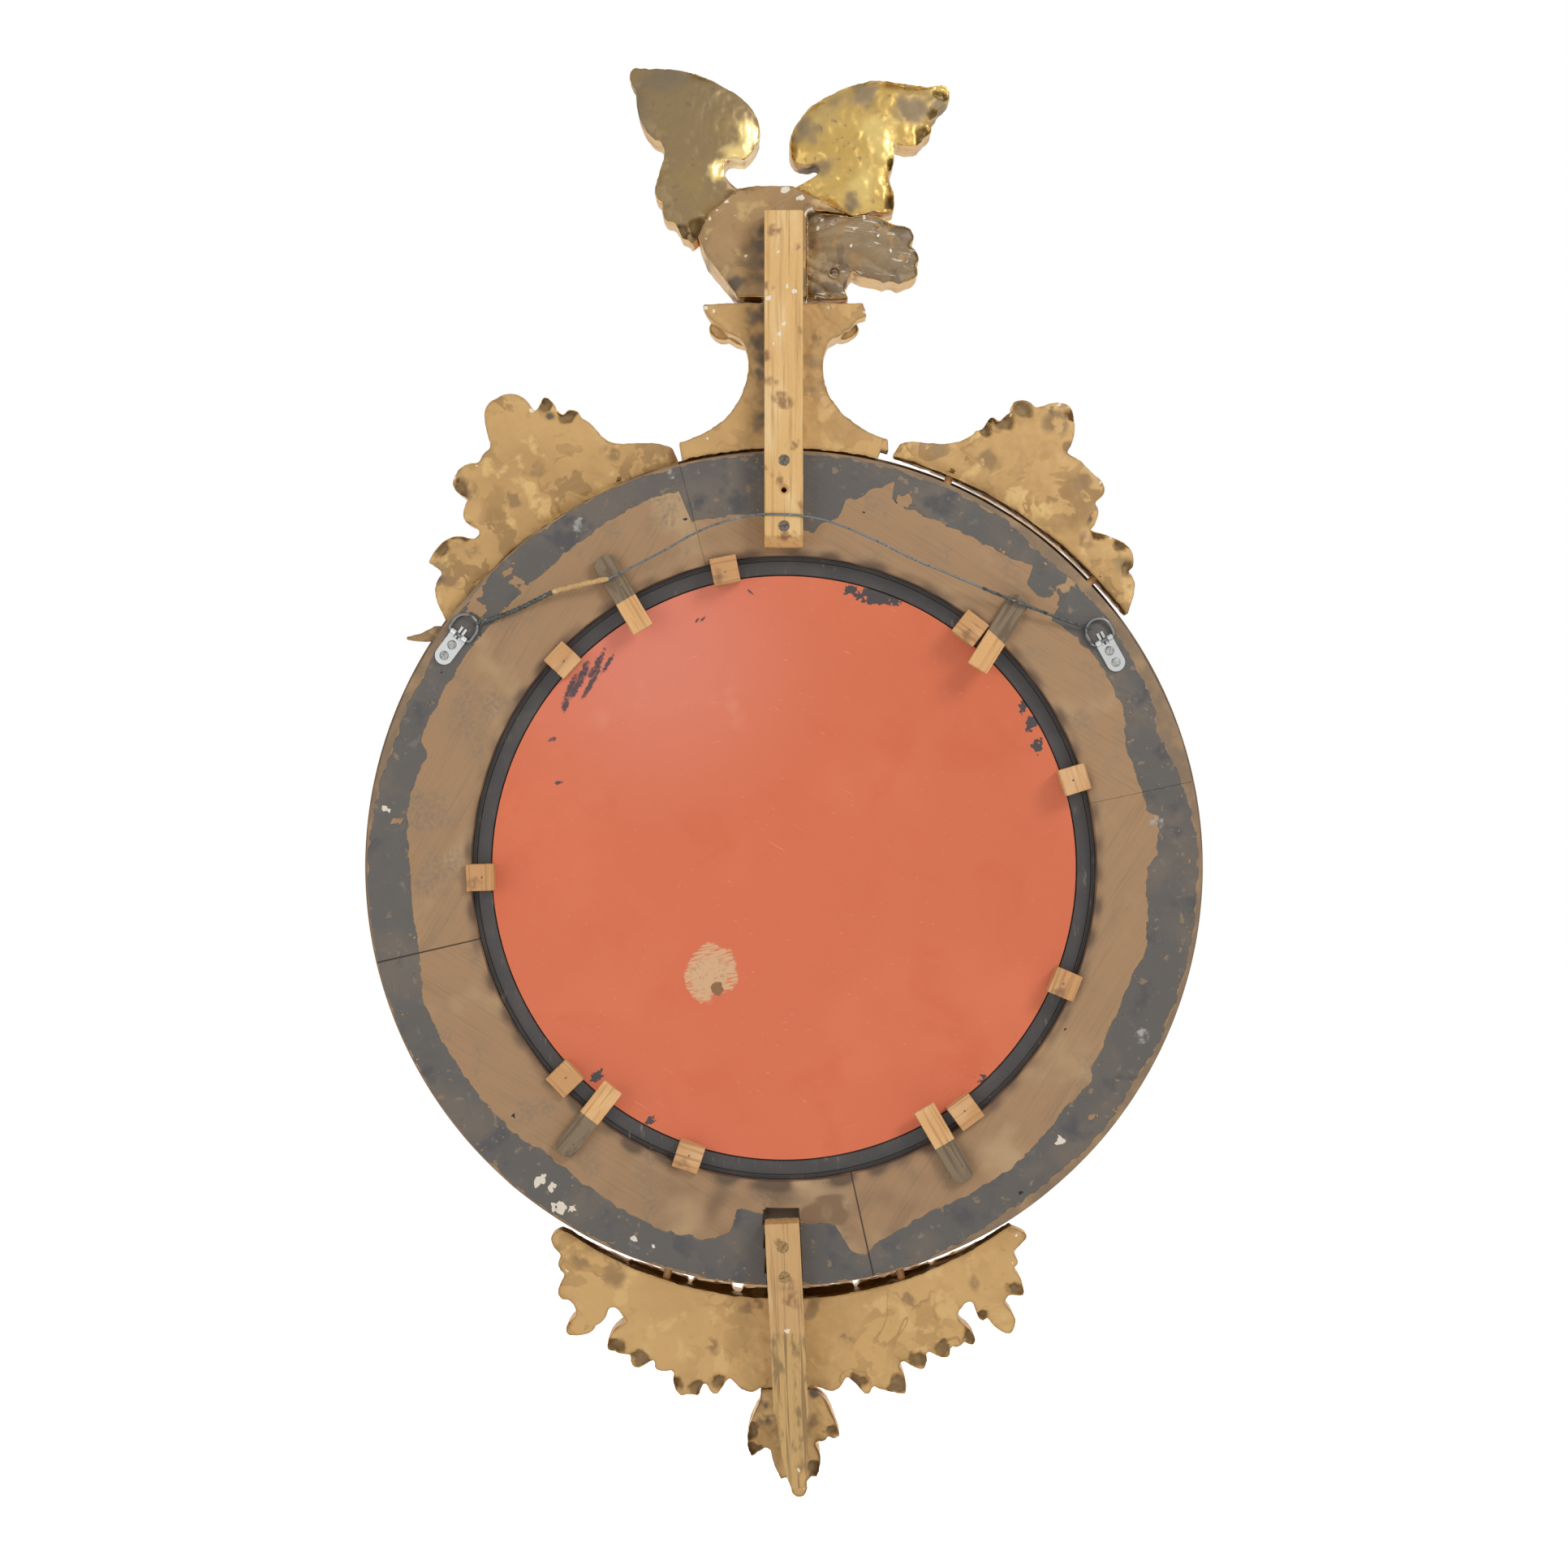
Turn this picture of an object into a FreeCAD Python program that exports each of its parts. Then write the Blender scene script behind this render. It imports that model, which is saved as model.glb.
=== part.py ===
import FreeCAD, Part
import math
import os
import re

import Sketcher

# A round girandole mirror, hung by a wire across its back.
# Millimetres. X to the right as seen from the front, Z up, and the glass looks along -Y.
# The wall is the plane Y = 0, and the origin is where the wire bears on its hook.
# "Depth" is always the distance from the wall towards the room, which is -Y.
# Angles round the ring are in degrees from straight up, growing towards +X.

SIZES = (
    ("fit_gap", 0.3, "clearance between seated pieces"),
    # Ring frame
    ("ring_back", 24, "depth of the ring's back face, which is the battens' depth"),
    ("ring_thickness", 30, "rear layer of the ring, back to front"),
    ("hole_radius", 279, "opening in the rear layer, which the rest is set out from"),
    ("ring_width", 93.5, "rear layer, across the wood"),
    ("rim_chamfer", 2.5, "worn edge of the rear layer"),
    ("joint_top", 14.5, "felloe joint near the top"),
    ("joint_right", 103, "felloe joint on the right"),
    ("joint_foot", 192.4, "felloe joint near the foot"),
    ("joint_left", 282, "felloe joint on the left"),
    # Front mouldings
    ("moulding_width", 83, "cove moulding, across"),
    ("moulding_thickness", 40, "cove moulding's outer edge, back to front"),
    ("moulding_inner_edge", 22, "cove moulding's inner edge, back to front"),
    ("cove_inset", 33, "hollow's centre line, from the opening"),
    ("cove_radius", 34, "radius of the hollow"),
    ("cove_outset", 2, "hollow's centre in front of the moulding"),
    ("ball_radius", 10, "one ball of the cove"),
    ("ball_count", 36, "balls in the cove"),
    ("band_radius", 9, "half the thickness of the reeded outer band"),
    ("band_gap", 3, "space behind the reeded outer band"),
    ("bead_radius", 5, "half the thickness of the inner bead"),
    ("bead_width", 12.7, "inner bead strip, across"),
    ("bead_height", 10, "inner bead strip, back to front"),
    # Slip and glass
    ("slip_inset", 13, "slip's back face in from the ring's back"),
    ("slip_thickness", 25, "slip at the ring, back to front"),
    ("slip_width", 34, "slip, across"),
    ("slip_slope", 6, "fall of the slip's face to its sight edge"),
    ("slip_wall", 17.5, "slip's wood outside the plate"),
    ("reed_radius", 3, "half the thickness of one reed of the slip"),
    ("plate_bulge", 38, "rise of the convex plate"),
    ("plate_thickness", 3.2, "glass"),
    ("sheet_thickness", 0.8, "painted sheet on the plate's hollow back"),
    # Clips and blocks
    ("clip_width", 20, "long glass clip"),
    ("clip_length", 75, "long glass clip"),
    ("clip_thickness", 8.5, "long glass clip"),
    ("clip_inset", 33, "clip's end inside the ring's opening"),
    ("clip_round", 5, "corner cut of the clip's outer end"),
    ("block_width", 24, "glue block, along the ring"),
    ("block_reach", 21, "glue block, inwards from the ring's opening"),
    ("block_lap", 3.5, "glue block, laid over the ring's back"),
    ("block_stand", 6, "glue block, proud of the ring's back"),
    ("brad_radius", 0.9, "brad"),
    ("brad_bite", 9, "brad in the wood below"),
    # Battens
    ("upper_width", 34.4, "upper batten"),
    ("upper_shift", 0.3, "upper batten's middle, to the right"),
    ("upper_top", 267.7, "upper batten's top above the hook"),
    ("upper_foot", 28.3, "upper batten's foot below the hook"),
    ("foot_bevel_rise", 8.8, "bevel at the upper batten's foot, along it"),
    ("foot_bevel_depth", 12, "bevel at the upper batten's foot, into it"),
    ("lower_width", 31, "lower batten"),
    ("lower_thickness", 32, "lower batten, of which 8 is let into the ring"),
    ("lower_lean", 2.8, "lower batten's lean, degrees"),
    ("lower_shift", 1.4, "lower batten's middle, to the left, at the apron's datum"),
    ("lower_top", 68, "lower batten's top above the apron's datum"),
    ("housing_spare", 9, "housing in the ring above the lower batten"),
    ("screw_radius", 2.4, "batten screw's shank"),
    ("screw_head", 4.9, "batten screw's head radius"),
    ("screw_sink", 3.6, "height of the countersunk head"),
    ("screw_length", 44, "batten screw"),
    ("slot_width", 1.1, "screwdriver slot"),
    ("slot_depth", 1.2, "screwdriver slot"),
    ("upper_screw_high", 47, "upper batten's first screw above the hook"),
    ("upper_screw_low", 10.9, "upper batten's second screw below the hook"),
    ("empty_hole_rise", 21.2, "unused screw hole above the hook"),
    ("lower_screw_high", 47, "lower batten's first screw above the apron's datum"),
    ("lower_screw_low", 20.7, "lower batten's second screw above the apron's datum"),
    # Crest
    ("hook_drop", 59.2, "hook below the ring's top edge"),
    ("crest_rise", 2.5, "crest's datum outside the ring's edge"),
    ("crest_gap", 10, "gap between the ring and the plinth"),
    ("plinth_thickness", 24, "crest plinth board"),
    ("rock_thickness", 42, "rockwork on the plinth, back to front"),
    ("body_thickness", 78, "eagle's body, back to breast"),
    ("wing_depth", 54, "depth of the wings' middle"),
    ("wing_half", 23, "half the thickness of a wing"),
    ("tail_depth", 52, "depth of the tail's middle"),
    ("tail_half", 24, "half the thickness of the tail"),
    ("tail_hole", 4.2, "radius of the hole pierced in the tail"),
    ("head_radius", 15, "eagle's head"),
    ("rock_top", 130, "flat top of the rockwork above the crest's datum"),
    ("foot_width", 16, "eagle's foot, across"),
    ("foot_length", 26, "eagle's foot, back to front"),
    ("foot_height", 4, "eagle's foot, between the rock and the body"),
    ("foot_spread", 14, "each foot from their middle"),
    # Side leaves
    ("leaf_angle_right", 35, "right bracket's place round the ring"),
    ("leaf_angle_left", 35, "left bracket's place round the ring, the other way"),
    ("leaf_seat_right", 4.5, "right bracket's datum outside the ring's edge"),
    ("leaf_seat_left", 10.5, "left bracket's datum outside the ring's edge"),
    ("leaf_gap_right", 1, "gap between the ring and the right bracket"),
    ("leaf_gap_left", 8.5, "gap between the ring and the left bracket"),
    ("leaf_back", 36, "depth of the brackets' back faces"),
    ("leaf_thickness", 44, "brackets at their thickest"),
    ("leaf_tip_run", 146.3, "broken leaf tip from the right bracket's middle, along the ring's edge"),
    ("leaf_tip_thickness", 8, "broken leaf tip"),
    ("tip_hole", 0.7, "radius of the pin hole in the broken leaf tip"),
    ("band_clear", 1.2, "clearance of the brackets round the outer band"),
    # Apron and pendant
    ("apron_rise", 7.5, "apron's datum outside the ring's edge"),
    ("apron_arc", 344, "radius of the apron's upper edge"),
    ("apron_gap", 12.5, "gap between the ring and the apron's middle"),
    ("apron_thickness", 44, "apron at its thickest"),
    ("pendant_thickness", 34, "pendant at its thickest"),
    ("dowel_radius", 3.5, "dowels of the brackets and the apron"),
    ("dowel_depth", 46, "depth of the dowels"),
    ("dowel_bite", 18, "dowel in the ring"),
    ("dowel_reach", 13, "dowel in the bracket"),
    ("dowel_spread", 12, "dowels of a side bracket, degrees to each side"),
    ("apron_spread", 16, "dowels of the apron, degrees to each side"),
    # Strap hangers
    ("hanger_right_inset", 16.8, "right hanger's bar, in from the ring's edge"),
    ("hanger_right_angle", 54.35, "right hanger's place round the ring"),
    ("hanger_right_lean", 36.5, "right hanger's lean towards the middle, degrees"),
    ("hanger_left_inset", 23.2, "left hanger's bar, in from the ring's edge"),
    ("hanger_left_angle", 54.5, "left hanger's place round the ring, the other way"),
    ("hanger_left_lean", 29, "left hanger's lean towards the middle, degrees"),
    ("strap_width", 16.5, "strap"),
    ("strap_thickness", 2.2, "folded strap, both layers"),
    ("strap_start", 4.1, "strap's plate from the bar"),
    ("strap_end", 30.4, "strap's rounded end from the bar"),
    ("lug_width", 4.8, "one of the strap's two lugs round the bar"),
    ("lug_wall", 1.1, "steel round the bar"),
    ("pin_gap", 0.1, "running clearance round the bar"),
    ("prong_width", 2.2, "one of the strap's two prongs inside the ring"),
    ("prong_length", 8, "prong past the bar"),
    ("strap_screw_near", 10.6, "first strap screw from the bar"),
    ("strap_screw_far", 22.3, "second strap screw from the bar"),
    ("strap_screw_head", 4.3, "strap screw's head radius"),
    ("strap_screw_dome", 1.4, "height of the strap screw's head"),
    ("strap_screw_length", 15, "strap screw in the ring"),
    ("strap_screw_radius", 1.8, "strap screw's shank"),
    ("dring_wire", 1.5, "half the thickness of the D-ring's wire"),
    ("dring_bow", 11.3, "radius of the D-ring's bow"),
    ("dring_corner", 3, "radius of the D-ring's corners"),
    ("dring_leg", 9.2, "bow's centre from the bar"),
    ("dring_lift", 4, "D-ring's tilt off the wood at rest, degrees"),
    # Wire
    ("wire_radius", 1, "hanging wire"),
    ("tail_radius", 2.2, "twisted tail of the wire"),
    ("tape_radius", 2.4, "tape wrapped round the wire's tail"),
    ("double_radius", 1.5, "doubled end of the wire"),
    ("eye_angle_right", -39, "wire's eye on the right D-ring, from its top"),
    ("eye_angle_left", 46.7, "wire's eye on the left D-ring, from its top"),
)

# Outlines are chains of stretches that meet at sharp notches and tips. A stretch starts where the one
# before it ended, and the first starts where the last one ends. One point makes a straight edge, and
# more make one smooth curve through them. Coordinates are X and height above the carving's own datum.

PLINTH = (
    ((93.5, 5),),
    ((75, 11.5), (49, 30), (35.7, 54), (32.2, 76), (36.4, 92.6), (46, 99.6)),
    ((52, 102.5), (57, 108)),
    ((66, 114), (72.7, 126)),
    ((71, 127.3),),
    ((43, 129.2),),
    ((-71, 128.7),),
    ((-74, 116),),
    ((-66, 113), (-59, 105)),
    ((-54.3, 104.4),),
    ((-52, 100.5), (-43, 97)),
    ((-36, 82), (-35, 68), (-40.4, 47.6), (-53.6, 30), (-70, 17), (-92.7, 7.4)),
    ((-93.8, -12),),
    ((93.5, -12),),
)
ROCKWORK = (
    ((64, 103), (68, 112), (60, 118)),
    ((63, 126), (52, 130)),
    ((-54, 130),),
    ((-64, 126), (-60, 117)),
    ((-68, 110), (-62, 103), (-48, 101)),
    ((-30, 94), (-14, 99)),
    ((4, 92), (20, 99)),
    ((36, 94), (50, 101)),
)
EAGLE_BODY = (
    ((25, 233.3), (-8, 233)),
    ((-30, 222),),
    ((-60, 208),),
    ((-35, 211),),
    ((-20, 211),),
    ((-20, 134),),
    ((42, 134),),
    ((53, 150), (62, 161), (70, 171)),
    ((77, 188),),
    ((66, 210),),
    ((39.5, 232),),
)
WING_RIGHT = (
    ((83, 183),),
    ((86, 187), (91, 188)),
    ((95, 197), (98, 201.5), (104, 203)),
    ((108, 208), (108.5, 221)),
    ((113, 223), (112.5, 245), (109, 270)),
    ((111, 275), (115, 275.5)),
    ((127, 290), (132, 307), (133, 323)),
    ((138, 330), (138.5, 338), (135, 343.5)),
    ((108, 341), (85, 337.5), (55, 325), (32, 309), (21.5, 288), (25, 271), (36, 258.5)),
    ((43, 260), (50, 259.5), (53.5, 247), (48, 238), (39.5, 232)),
    ((66, 210),),
    ((77, 188),),
)
WING_LEFT = (
    ((-20, 240), (-32, 249.5), (-28, 257)),
    ((-17, 254), (-8, 258), (-4.5, 270), (-10, 290), (-29, 311)),
    ((-52, 322), (-75, 329.5), (-110, 327), (-142, 328.5)),
    ((-149, 323), (-146, 310), (-138.5, 305)),
    ((-137, 299), (-130, 294.5)),
    ((-132, 285), (-125, 278)),
    ((-116, 270.5), (-104, 272), (-97, 274.5)),
    ((-98.5, 258), (-93, 243)),
    ((-97, 233), (-99, 222), (-98, 213)),
    ((-90, 211), (-80, 213)),
    ((-72, 210), (-60, 208)),
    ((-30, 222),),
    ((-8, 233),),
)
EAGLE_TAIL = (
    ((-35, 211),),
    ((-60, 206.8),),
    ((-72, 208.6), (-86, 206.5)),
    ((-96, 201),),
    ((-105, 199), (-113, 196), (-116, 190), (-112.5, 182)),
    ((-119, 175), (-121, 169), (-117, 165)),
    ((-120, 157), (-113, 150)),
    ((-102, 146),),
    ((-92, 148.5), (-89, 147)),
    ((-82, 150), (-72, 152), (-61, 157)),
    ((-56, 147), (-58, 134)),
    ((-20, 134),),
    ((-20, 211),),
)
LEAF_RIGHT = (
    ((-131, -26),),
    ((-134, -12),),
    ((-127, -2), (-108, 12), (-90, 28), (-86, 50), (-82, 58)),
    ((-83, 64), (-78, 69.5), (-69, 63)),
    ((-70, 71), (-68, 77)),
    ((-69.5, 85), (-65, 92), (-58, 88), (-50.5, 87)),
    ((-51.5, 98), (-46, 109), (-33, 115.5), (-17, 114), (-11.5, 108)),
    ((-8, 101), (-3, 89), (0, 82)),
    ((9, 81), (16, 77)),
    ((21, 80.5), (29, 83), (38, 81)),
    ((46, 75), (45, 61), (41, 57)),
    ((50, 51.5), (56, 40), (52, 33), (51.5, 25)),
    ((58, 24), (66, 32), (78, 37.5), (92, 36), (104.5, 29.5)),
    ((101, 22), (99, 14)),
    ((108, 12), (115, 4), (120, -14)),
    ((123, -30),),
    ((100, -48),),
    ((-100, -48),),
)
LEAF_LEFT = (
    ((132, -30),),
    ((133, -12),),
    ((122, -2), (103, 9), (90, 21), (84, 37)),
    ((80, 44), (80, 53), (70, 54)),
    ((70, 64), (67, 69)),
    ((69.5, 80), (63, 84.5), (52, 83.5)),
    ((42, 96), (29, 103), (19, 97), (8, 81), (6, 66.5)),
    ((-7, 68.5), (-20, 66), (-32, 65)),
    ((-42, 58), (-39.5, 45)),
    ((-50, 37), (-52, 29), (-50, 20)),
    ((-60, 25.5), (-72, 28.5), (-89, 29.5), (-101, 19), (-100, 11)),
    ((-108, 9), (-112, 5.5)),
    ((-118, -6), (-122.5, -24)),
    ((-110, -44),),
    ((110, -44),),
)
LEAF_TIP = (
    ((-14.3, 8.9),),
    ((-3.3, 15), (6.9, 24.5)),
    ((9.4, 22.9),),
    ((5, 13.2), (-0.4, 4.8)),
    ((-10, -10.4),),
    ((-21.8, -2.9),),
)
APRON = (
    ((203, 55.5), (208.5, 50), (207, 42), (199.5, 33)),
    ((202.5, 26), (196, 17)),
    ((200, 8.7), (202, -1), (198, -6), (193, -6)),
    ((187, -14), (187.5, -22)),
    ((194, -28), (194.5, -36), (188, -38.5), (169, -29.3)),
    ((161, -25), (157.8, -15)),
    ((154, -13), (147, -17.5), (139.6, -26.5)),
    ((150, -31.5), (157.4, -41.7), (158.3, -50.5)),
    ((146, -55.5),),
    ((135.3, -55),),
    ((137, -62), (134, -66.4), (121, -62.5), (114, -59.4)),
    ((113.5, -69), (106, -70), (97.7, -69.6)),
    ((98.2, -84), (92, -92.4)),
    ((83, -91), (76, -92)),
    ((72.5, -82), (69.4, -77)),
    ((67, -86), (62, -91), (54, -83), (48.2, -76)),
    ((38, -86), (30, -89), (22, -85)),
    ((-22, -85),),
    ((-36, -86.5), (-46, -88), (-52.3, -81.4), (-55.8, -74.7)),
    ((-65.5, -84), (-74, -91), (-78.8, -81)),
    ((-84, -86), (-91, -87.5)),
    ((-99, -89.4), (-109, -90.5)),
    ((-108.5, -76), (-102.7, -65)),
    ((-106, -61.7),),
    ((-114, -65), (-124, -68.7), (-128, -58), (-125.6, -51)),
    ((-135, -55.5), (-148, -56), (-149, -52), (-146.3, -45.6)),
    ((-157, -48), (-161, -43.5)),
    ((-171, -44.5), (-170.7, -39), (-164.5, -31), (-155.7, -21.4)),
    ((-160, -12.5), (-166.8, -7.6), (-172, -18), (-177.7, -25.3)),
    ((-183, -22),),
    ((-194.5, -34.6), (-203, -36), (-207.4, -30), (-206, -20.5), (-197.7, -9)),
    ((-204, -2), (-213, -3), (-213.5, 9), (-207, 19)),
    ((-205, 22),),
    ((-210, 28), (-206, 34)),
    ((-214.8, 46), (-217.5, 51), (-212, 56), (-204, 58.7)),
    ((-190, 90),),
    ((180, 90),),
    ((194, 54),),
)
PENDANT = (
    ((-36, -94), (-44, -108), (-49.5, -124)),
    ((-49, -128), (-46, -130), (-39.5, -127)),
    ((-36, -132.5), (-27.5, -133)),
    ((-32, -142), (-32.5, -153), (-30, -164.5)),
    ((-24.5, -164),),
    ((-20, -168.5),),
    ((-21, -174), (-18, -181), (-13, -182.5), (-8, -180), (-8, -170)),
    ((-3, -165.2), (2.5, -167)),
    ((8, -156), (12.5, -140)),
    ((16.5, -137.8),),
    ((24, -143), (29, -146.5)),
    ((33, -130), (28, -110), (21, -95)),
    ((21, -86),),
    ((-22, -86),),
)
# The lower batten in its own leaning frame: a plain strip whose end is carved down into the pendant.
LOWER_END = (
    ((-15.5, -100),),
    ((-13, -128), (-12, -150), (-7, -166)),
    ((3, -166),),
    ((8, -150), (11, -128), (15.5, -92)),
)

V = FreeCAD.Vector
SIZE_NAMES = tuple(name for name, _, _ in SIZES)

# Places and radii that are set out from the sizes above
SET_OUT = {
    "ring_front": "ring_back + ring_thickness",
    "ring_radius": "hole_radius + ring_width",
    "hook_rise": "ring_radius - hook_drop",
    "moulding_radius": "hole_radius + moulding_width",
    "moulding_front": "ring_front + moulding_thickness",
    "cove_centre": "hole_radius + cove_inset",
    "plate_radius": "hole_radius - slip_wall",
    "slip_sight": "hole_radius - slip_width",
    "slip_depth": "ring_back + slip_inset",
    "slip_front": "slip_depth + slip_thickness",
    "sphere_radius": "(plate_radius * plate_radius + plate_bulge * plate_bulge) / (2 * plate_bulge)",
    "edge_slope": "2 * atan(plate_bulge / plate_radius)",
    "slip_ledge": "slip_depth + 2 * fit_gap + (sheet_thickness + plate_thickness) / cos(edge_slope)",
    "band_edge": "moulding_radius + 2 * band_radius + band_clear",
    "rock_back": "ring_back + plinth_thickness",
    "crest_datum": "ring_radius + crest_rise",
    "foot_datum": "-(ring_radius + apron_rise)",
    "leaf_tip_angle": "leaf_angle_right + leaf_tip_run / ring_radius * 180 / pi",
    "clip_middle": "hole_radius + clip_length / 2 - clip_inset",
    "lug_radius": "dring_wire + pin_gap + lug_wall",
    "bar_depth": "ring_back - lug_radius",
}


def linked(expression):
    """The expression with each name pointed at its cell, or followed back to the cells that it is set out from."""

    def follow(found):
        name = found.group()
        if name in SET_OUT:
            return f"({linked(SET_OUT[name])})"
        return "Sizes." + name if name in SIZE_NAMES else name

    return re.sub(r"[a-z_]+", follow, expression)


def bind(thing, **expressions):
    """Ties properties to the sheet. A double underscore in a name stands for a dot."""
    for name, expression in expressions.items():
        thing.setExpression(name.replace("__", "."), linked(str(expression)))


def add_sheet(doc):
    sheet = doc.addObject("Spreadsheet::Sheet", "Sizes")
    for row, (name, size, note) in enumerate(SIZES, 1):
        sheet.set(f"A{row}", note)
        sheet.set(f"B{row}", str(size))
        sheet.setAlias(f"B{row}", name)
    doc.recompute()
    return sheet


def place(x="0", y="0", z="0", yaw="0", pitch="0", roll="0"):
    """A placement as one expression."""
    return f"placement(vector({x}; {y}; {z}); rotation({yaw}; {pitch}; {roll}))"


def ring_body(doc, label, turn="0", at=("0", "0"), depth="0", roll="0"):
    """A body whose origin stands at this point from the ring's centre and at this depth from the wall.
    It is turned about the ring's axis, and then rolled about its own X."""
    body = doc.addObject("PartDesign::Body", label)
    body.Label = label
    body.AllowCompound = True
    x, height = at
    bind(body, Placement=place(x, f"-({depth})", f"{height} - hook_rise", pitch=turn, roll=roll))
    return body


def attach(feature, body, role, **offset):
    """Puts a sketch or a primitive on one of its body's own planes, moved and turned in that plane's frame.
    XZ_Plane: x is X, y is height and z is depth. XY_Plane: x is X and y is Y. YZ_Plane: x is Y and y is height."""
    plane = next(f for f in body.Origin.OriginFeatures if f.Role == role)
    feature.AttachmentSupport = (plane, [""])
    feature.MapMode = "FlatFace"
    bind(feature, AttachmentOffset=place(**offset))
    return feature


def sketch(body, role, **offset):
    return attach(body.newObject("Sketcher::SketchObject", "Sketch"), body, role, **offset)


def tie(drawing, kind, item, expression):
    """A dimension of a sketch, bound to the sheet: "X" or "Y" of a line's start."""
    start = drawing.Geometry[item].StartPoint
    rule = Sketcher.Constraint("Distance" + kind, -1, 1, item, 1, start.x if kind == "X" else start.y)
    index = drawing.addConstraint(rule)
    drawing.setExpression(f"Constraints[{index}]", linked(expression))


def polygon(body, role, corners, **offset):
    """A closed outline of straight edges with both coordinates of every corner bound to the sheet."""
    drawing = sketch(body, role, **offset)
    count = len(corners)
    rough = [V(math.cos(i * math.tau / count), math.sin(i * math.tau / count)) * 100 for i in range(count)]
    drawing.addGeometry([Part.LineSegment(rough[i], rough[(i + 1) % count]) for i in range(count)])
    for i in range(count):
        drawing.addConstraint(Sketcher.Constraint("Coincident", i, 2, (i + 1) % count, 1))
    for i, (x, y) in enumerate(corners):
        tie(drawing, "X", i, x)
        tie(drawing, "Y", i, y)
    return drawing


def outline(body, stretches, **offset):
    """A carved outline on the body's XZ plane."""
    drawing = sketch(body, "XZ_Plane", **offset)
    here = stretches[-1][-1]
    for stretch in stretches:
        points = [V(*p) for p in (here,) + stretch]
        if len(points) == 2:
            drawing.addGeometry(Part.LineSegment(*points))
        else:
            curve = Part.BSplineCurve()
            curve.interpolate(points)
            drawing.addGeometry(curve)
        here = stretch[-1]
    return drawing


def pad(body, drawing, length, middle=False):
    feature = body.newObject("PartDesign::Pad", "Pad")
    feature.Profile = drawing
    feature.Midplane = middle
    bind(feature, Length=length)
    return feature


def revolve(body, drawing, angle="360"):
    feature = body.newObject("PartDesign::Revolution", "Revolution")
    feature.Profile = drawing
    feature.ReferenceAxis = (drawing, ["V_Axis"])
    bind(feature, Angle=angle)
    return feature


def primitive(body, kind, role, sizes, **offset):
    """An additive or subtractive primitive, such as AdditiveTorus, with its sizes bound to the sheet."""
    feature = attach(body.newObject("PartDesign::" + kind, kind), body, role, **offset)
    bind(feature, **sizes)
    return feature


def turned_ring(doc, label, corners):
    """A ring turned from a section given as (radius, depth) corners."""
    body = ring_body(doc, label)
    revolve(body, polygon(body, "XY_Plane", [(radius, f"-({depth})") for radius, depth in corners]))
    return body


def round_bead(body, radius, depth, half):
    primitive(body, "AdditiveTorus", "XZ_Plane", {"Radius1": radius, "Radius2": half}, z=depth)


def cut_round(body, radius, depth, length, y="0"):
    """Clears a round of this radius, from this depth towards the room."""
    primitive(body, "SubtractiveCylinder", "XZ_Plane", {"Radius": radius, "Height": length}, y=y, z=depth)


def radial_rod(body, kind, angle, start, length, depth="dowel_depth", radius="dowel_radius"):
    """A rod or a hole that points away from the ring's centre at this angle."""
    primitive(
        body,
        kind,
        "XY_Plane",
        {"Radius": radius, "Height": length},
        x=f"({start}) * sin(({angle}) * 1deg)",
        y=f"-({depth})",
        z=f"({start}) * cos(({angle}) * 1deg)",
        pitch=angle,
    )


def pattern(body, feature, count):
    """Copies of a feature, spaced evenly about the ring's axis."""
    copies = body.newObject("PartDesign::PolarPattern", "PolarPattern")
    copies.Originals = [feature]
    copies.Axis = (next(f for f in body.Origin.OriginFeatures if f.Role == "Y_Axis"), [""])
    copies.Angle = 360
    bind(copies, Occurrences=count)
    body.Tip = copies


def turned_point(x, y, turn, from_x="0", from_y="0"):
    """Where (x, y) comes to in a frame that is turned about (from_x, from_y), as two expressions."""
    side, rise = f"cos(({turn}) * 1deg)", f"sin(({turn}) * 1deg)"
    return (
        f"({from_x}) + ({x}) * {side} + ({y}) * {rise}",
        f"({from_y}) - ({x}) * {rise} + ({y}) * {side}",
    )


def domed(doc, label, body, at, depth, radii, turn="0"):
    """The part of a flat-sided body that lies inside an ellipsoid, so its faces swell and its edges thin.
    The centre is in the body's own frame, and the radii are across, up and through."""
    swell = doc.addObject("Part::Ellipsoid", label + "_swell")
    across, up, through = radii
    x, height = turned_point(*at, turn)
    bind(
        swell,
        Radius1=up,
        Radius2=across,
        Radius3=through,
        Placement=place(x, f"-({depth})", f"{height} - hook_rise", pitch=turn),
    )
    piece = doc.addObject("Part::Common", label)
    body.Label = label + "_board"
    piece.Base = body
    piece.Tool = swell
    piece.Label = label
    return piece


# Name, place round the ring and lean of each long clip
GLASS_CLIPS = (
    ("glass_clip_upper_right", 30.5, 30.5),
    ("glass_clip_upper_left", -42.4, -31.8),
    ("glass_clip_lower_right", 142, 142),
    ("glass_clip_lower_left", -149.7, -149.7),
)
BLOCK_ANGLES = (11.2, 46.7, 91.7, 133.8, 161.7, -143.3, -112.4, -73, -37.8)
CLIP_BRADS = ((-3, 8), (3.5, 24))


def lower_point(x, y):
    """A point of the leaning lower batten's frame, on the ring's XZ plane."""
    return turned_point(x, y, "lower_lean", "-lower_shift", "foot_datum")


def drill(body, at, depth, length, radius):
    x, y = at
    primitive(body, "SubtractiveCylinder", "XZ_Plane", {"Radius": radius, "Height": length}, x=x, y=y, z=depth)


def drive(body, at, depth, length, radius):
    x, y = at
    primitive(body, "AdditiveCylinder", "XZ_Plane", {"Radius": radius, "Height": length}, x=x, y=y, z=depth)


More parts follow.
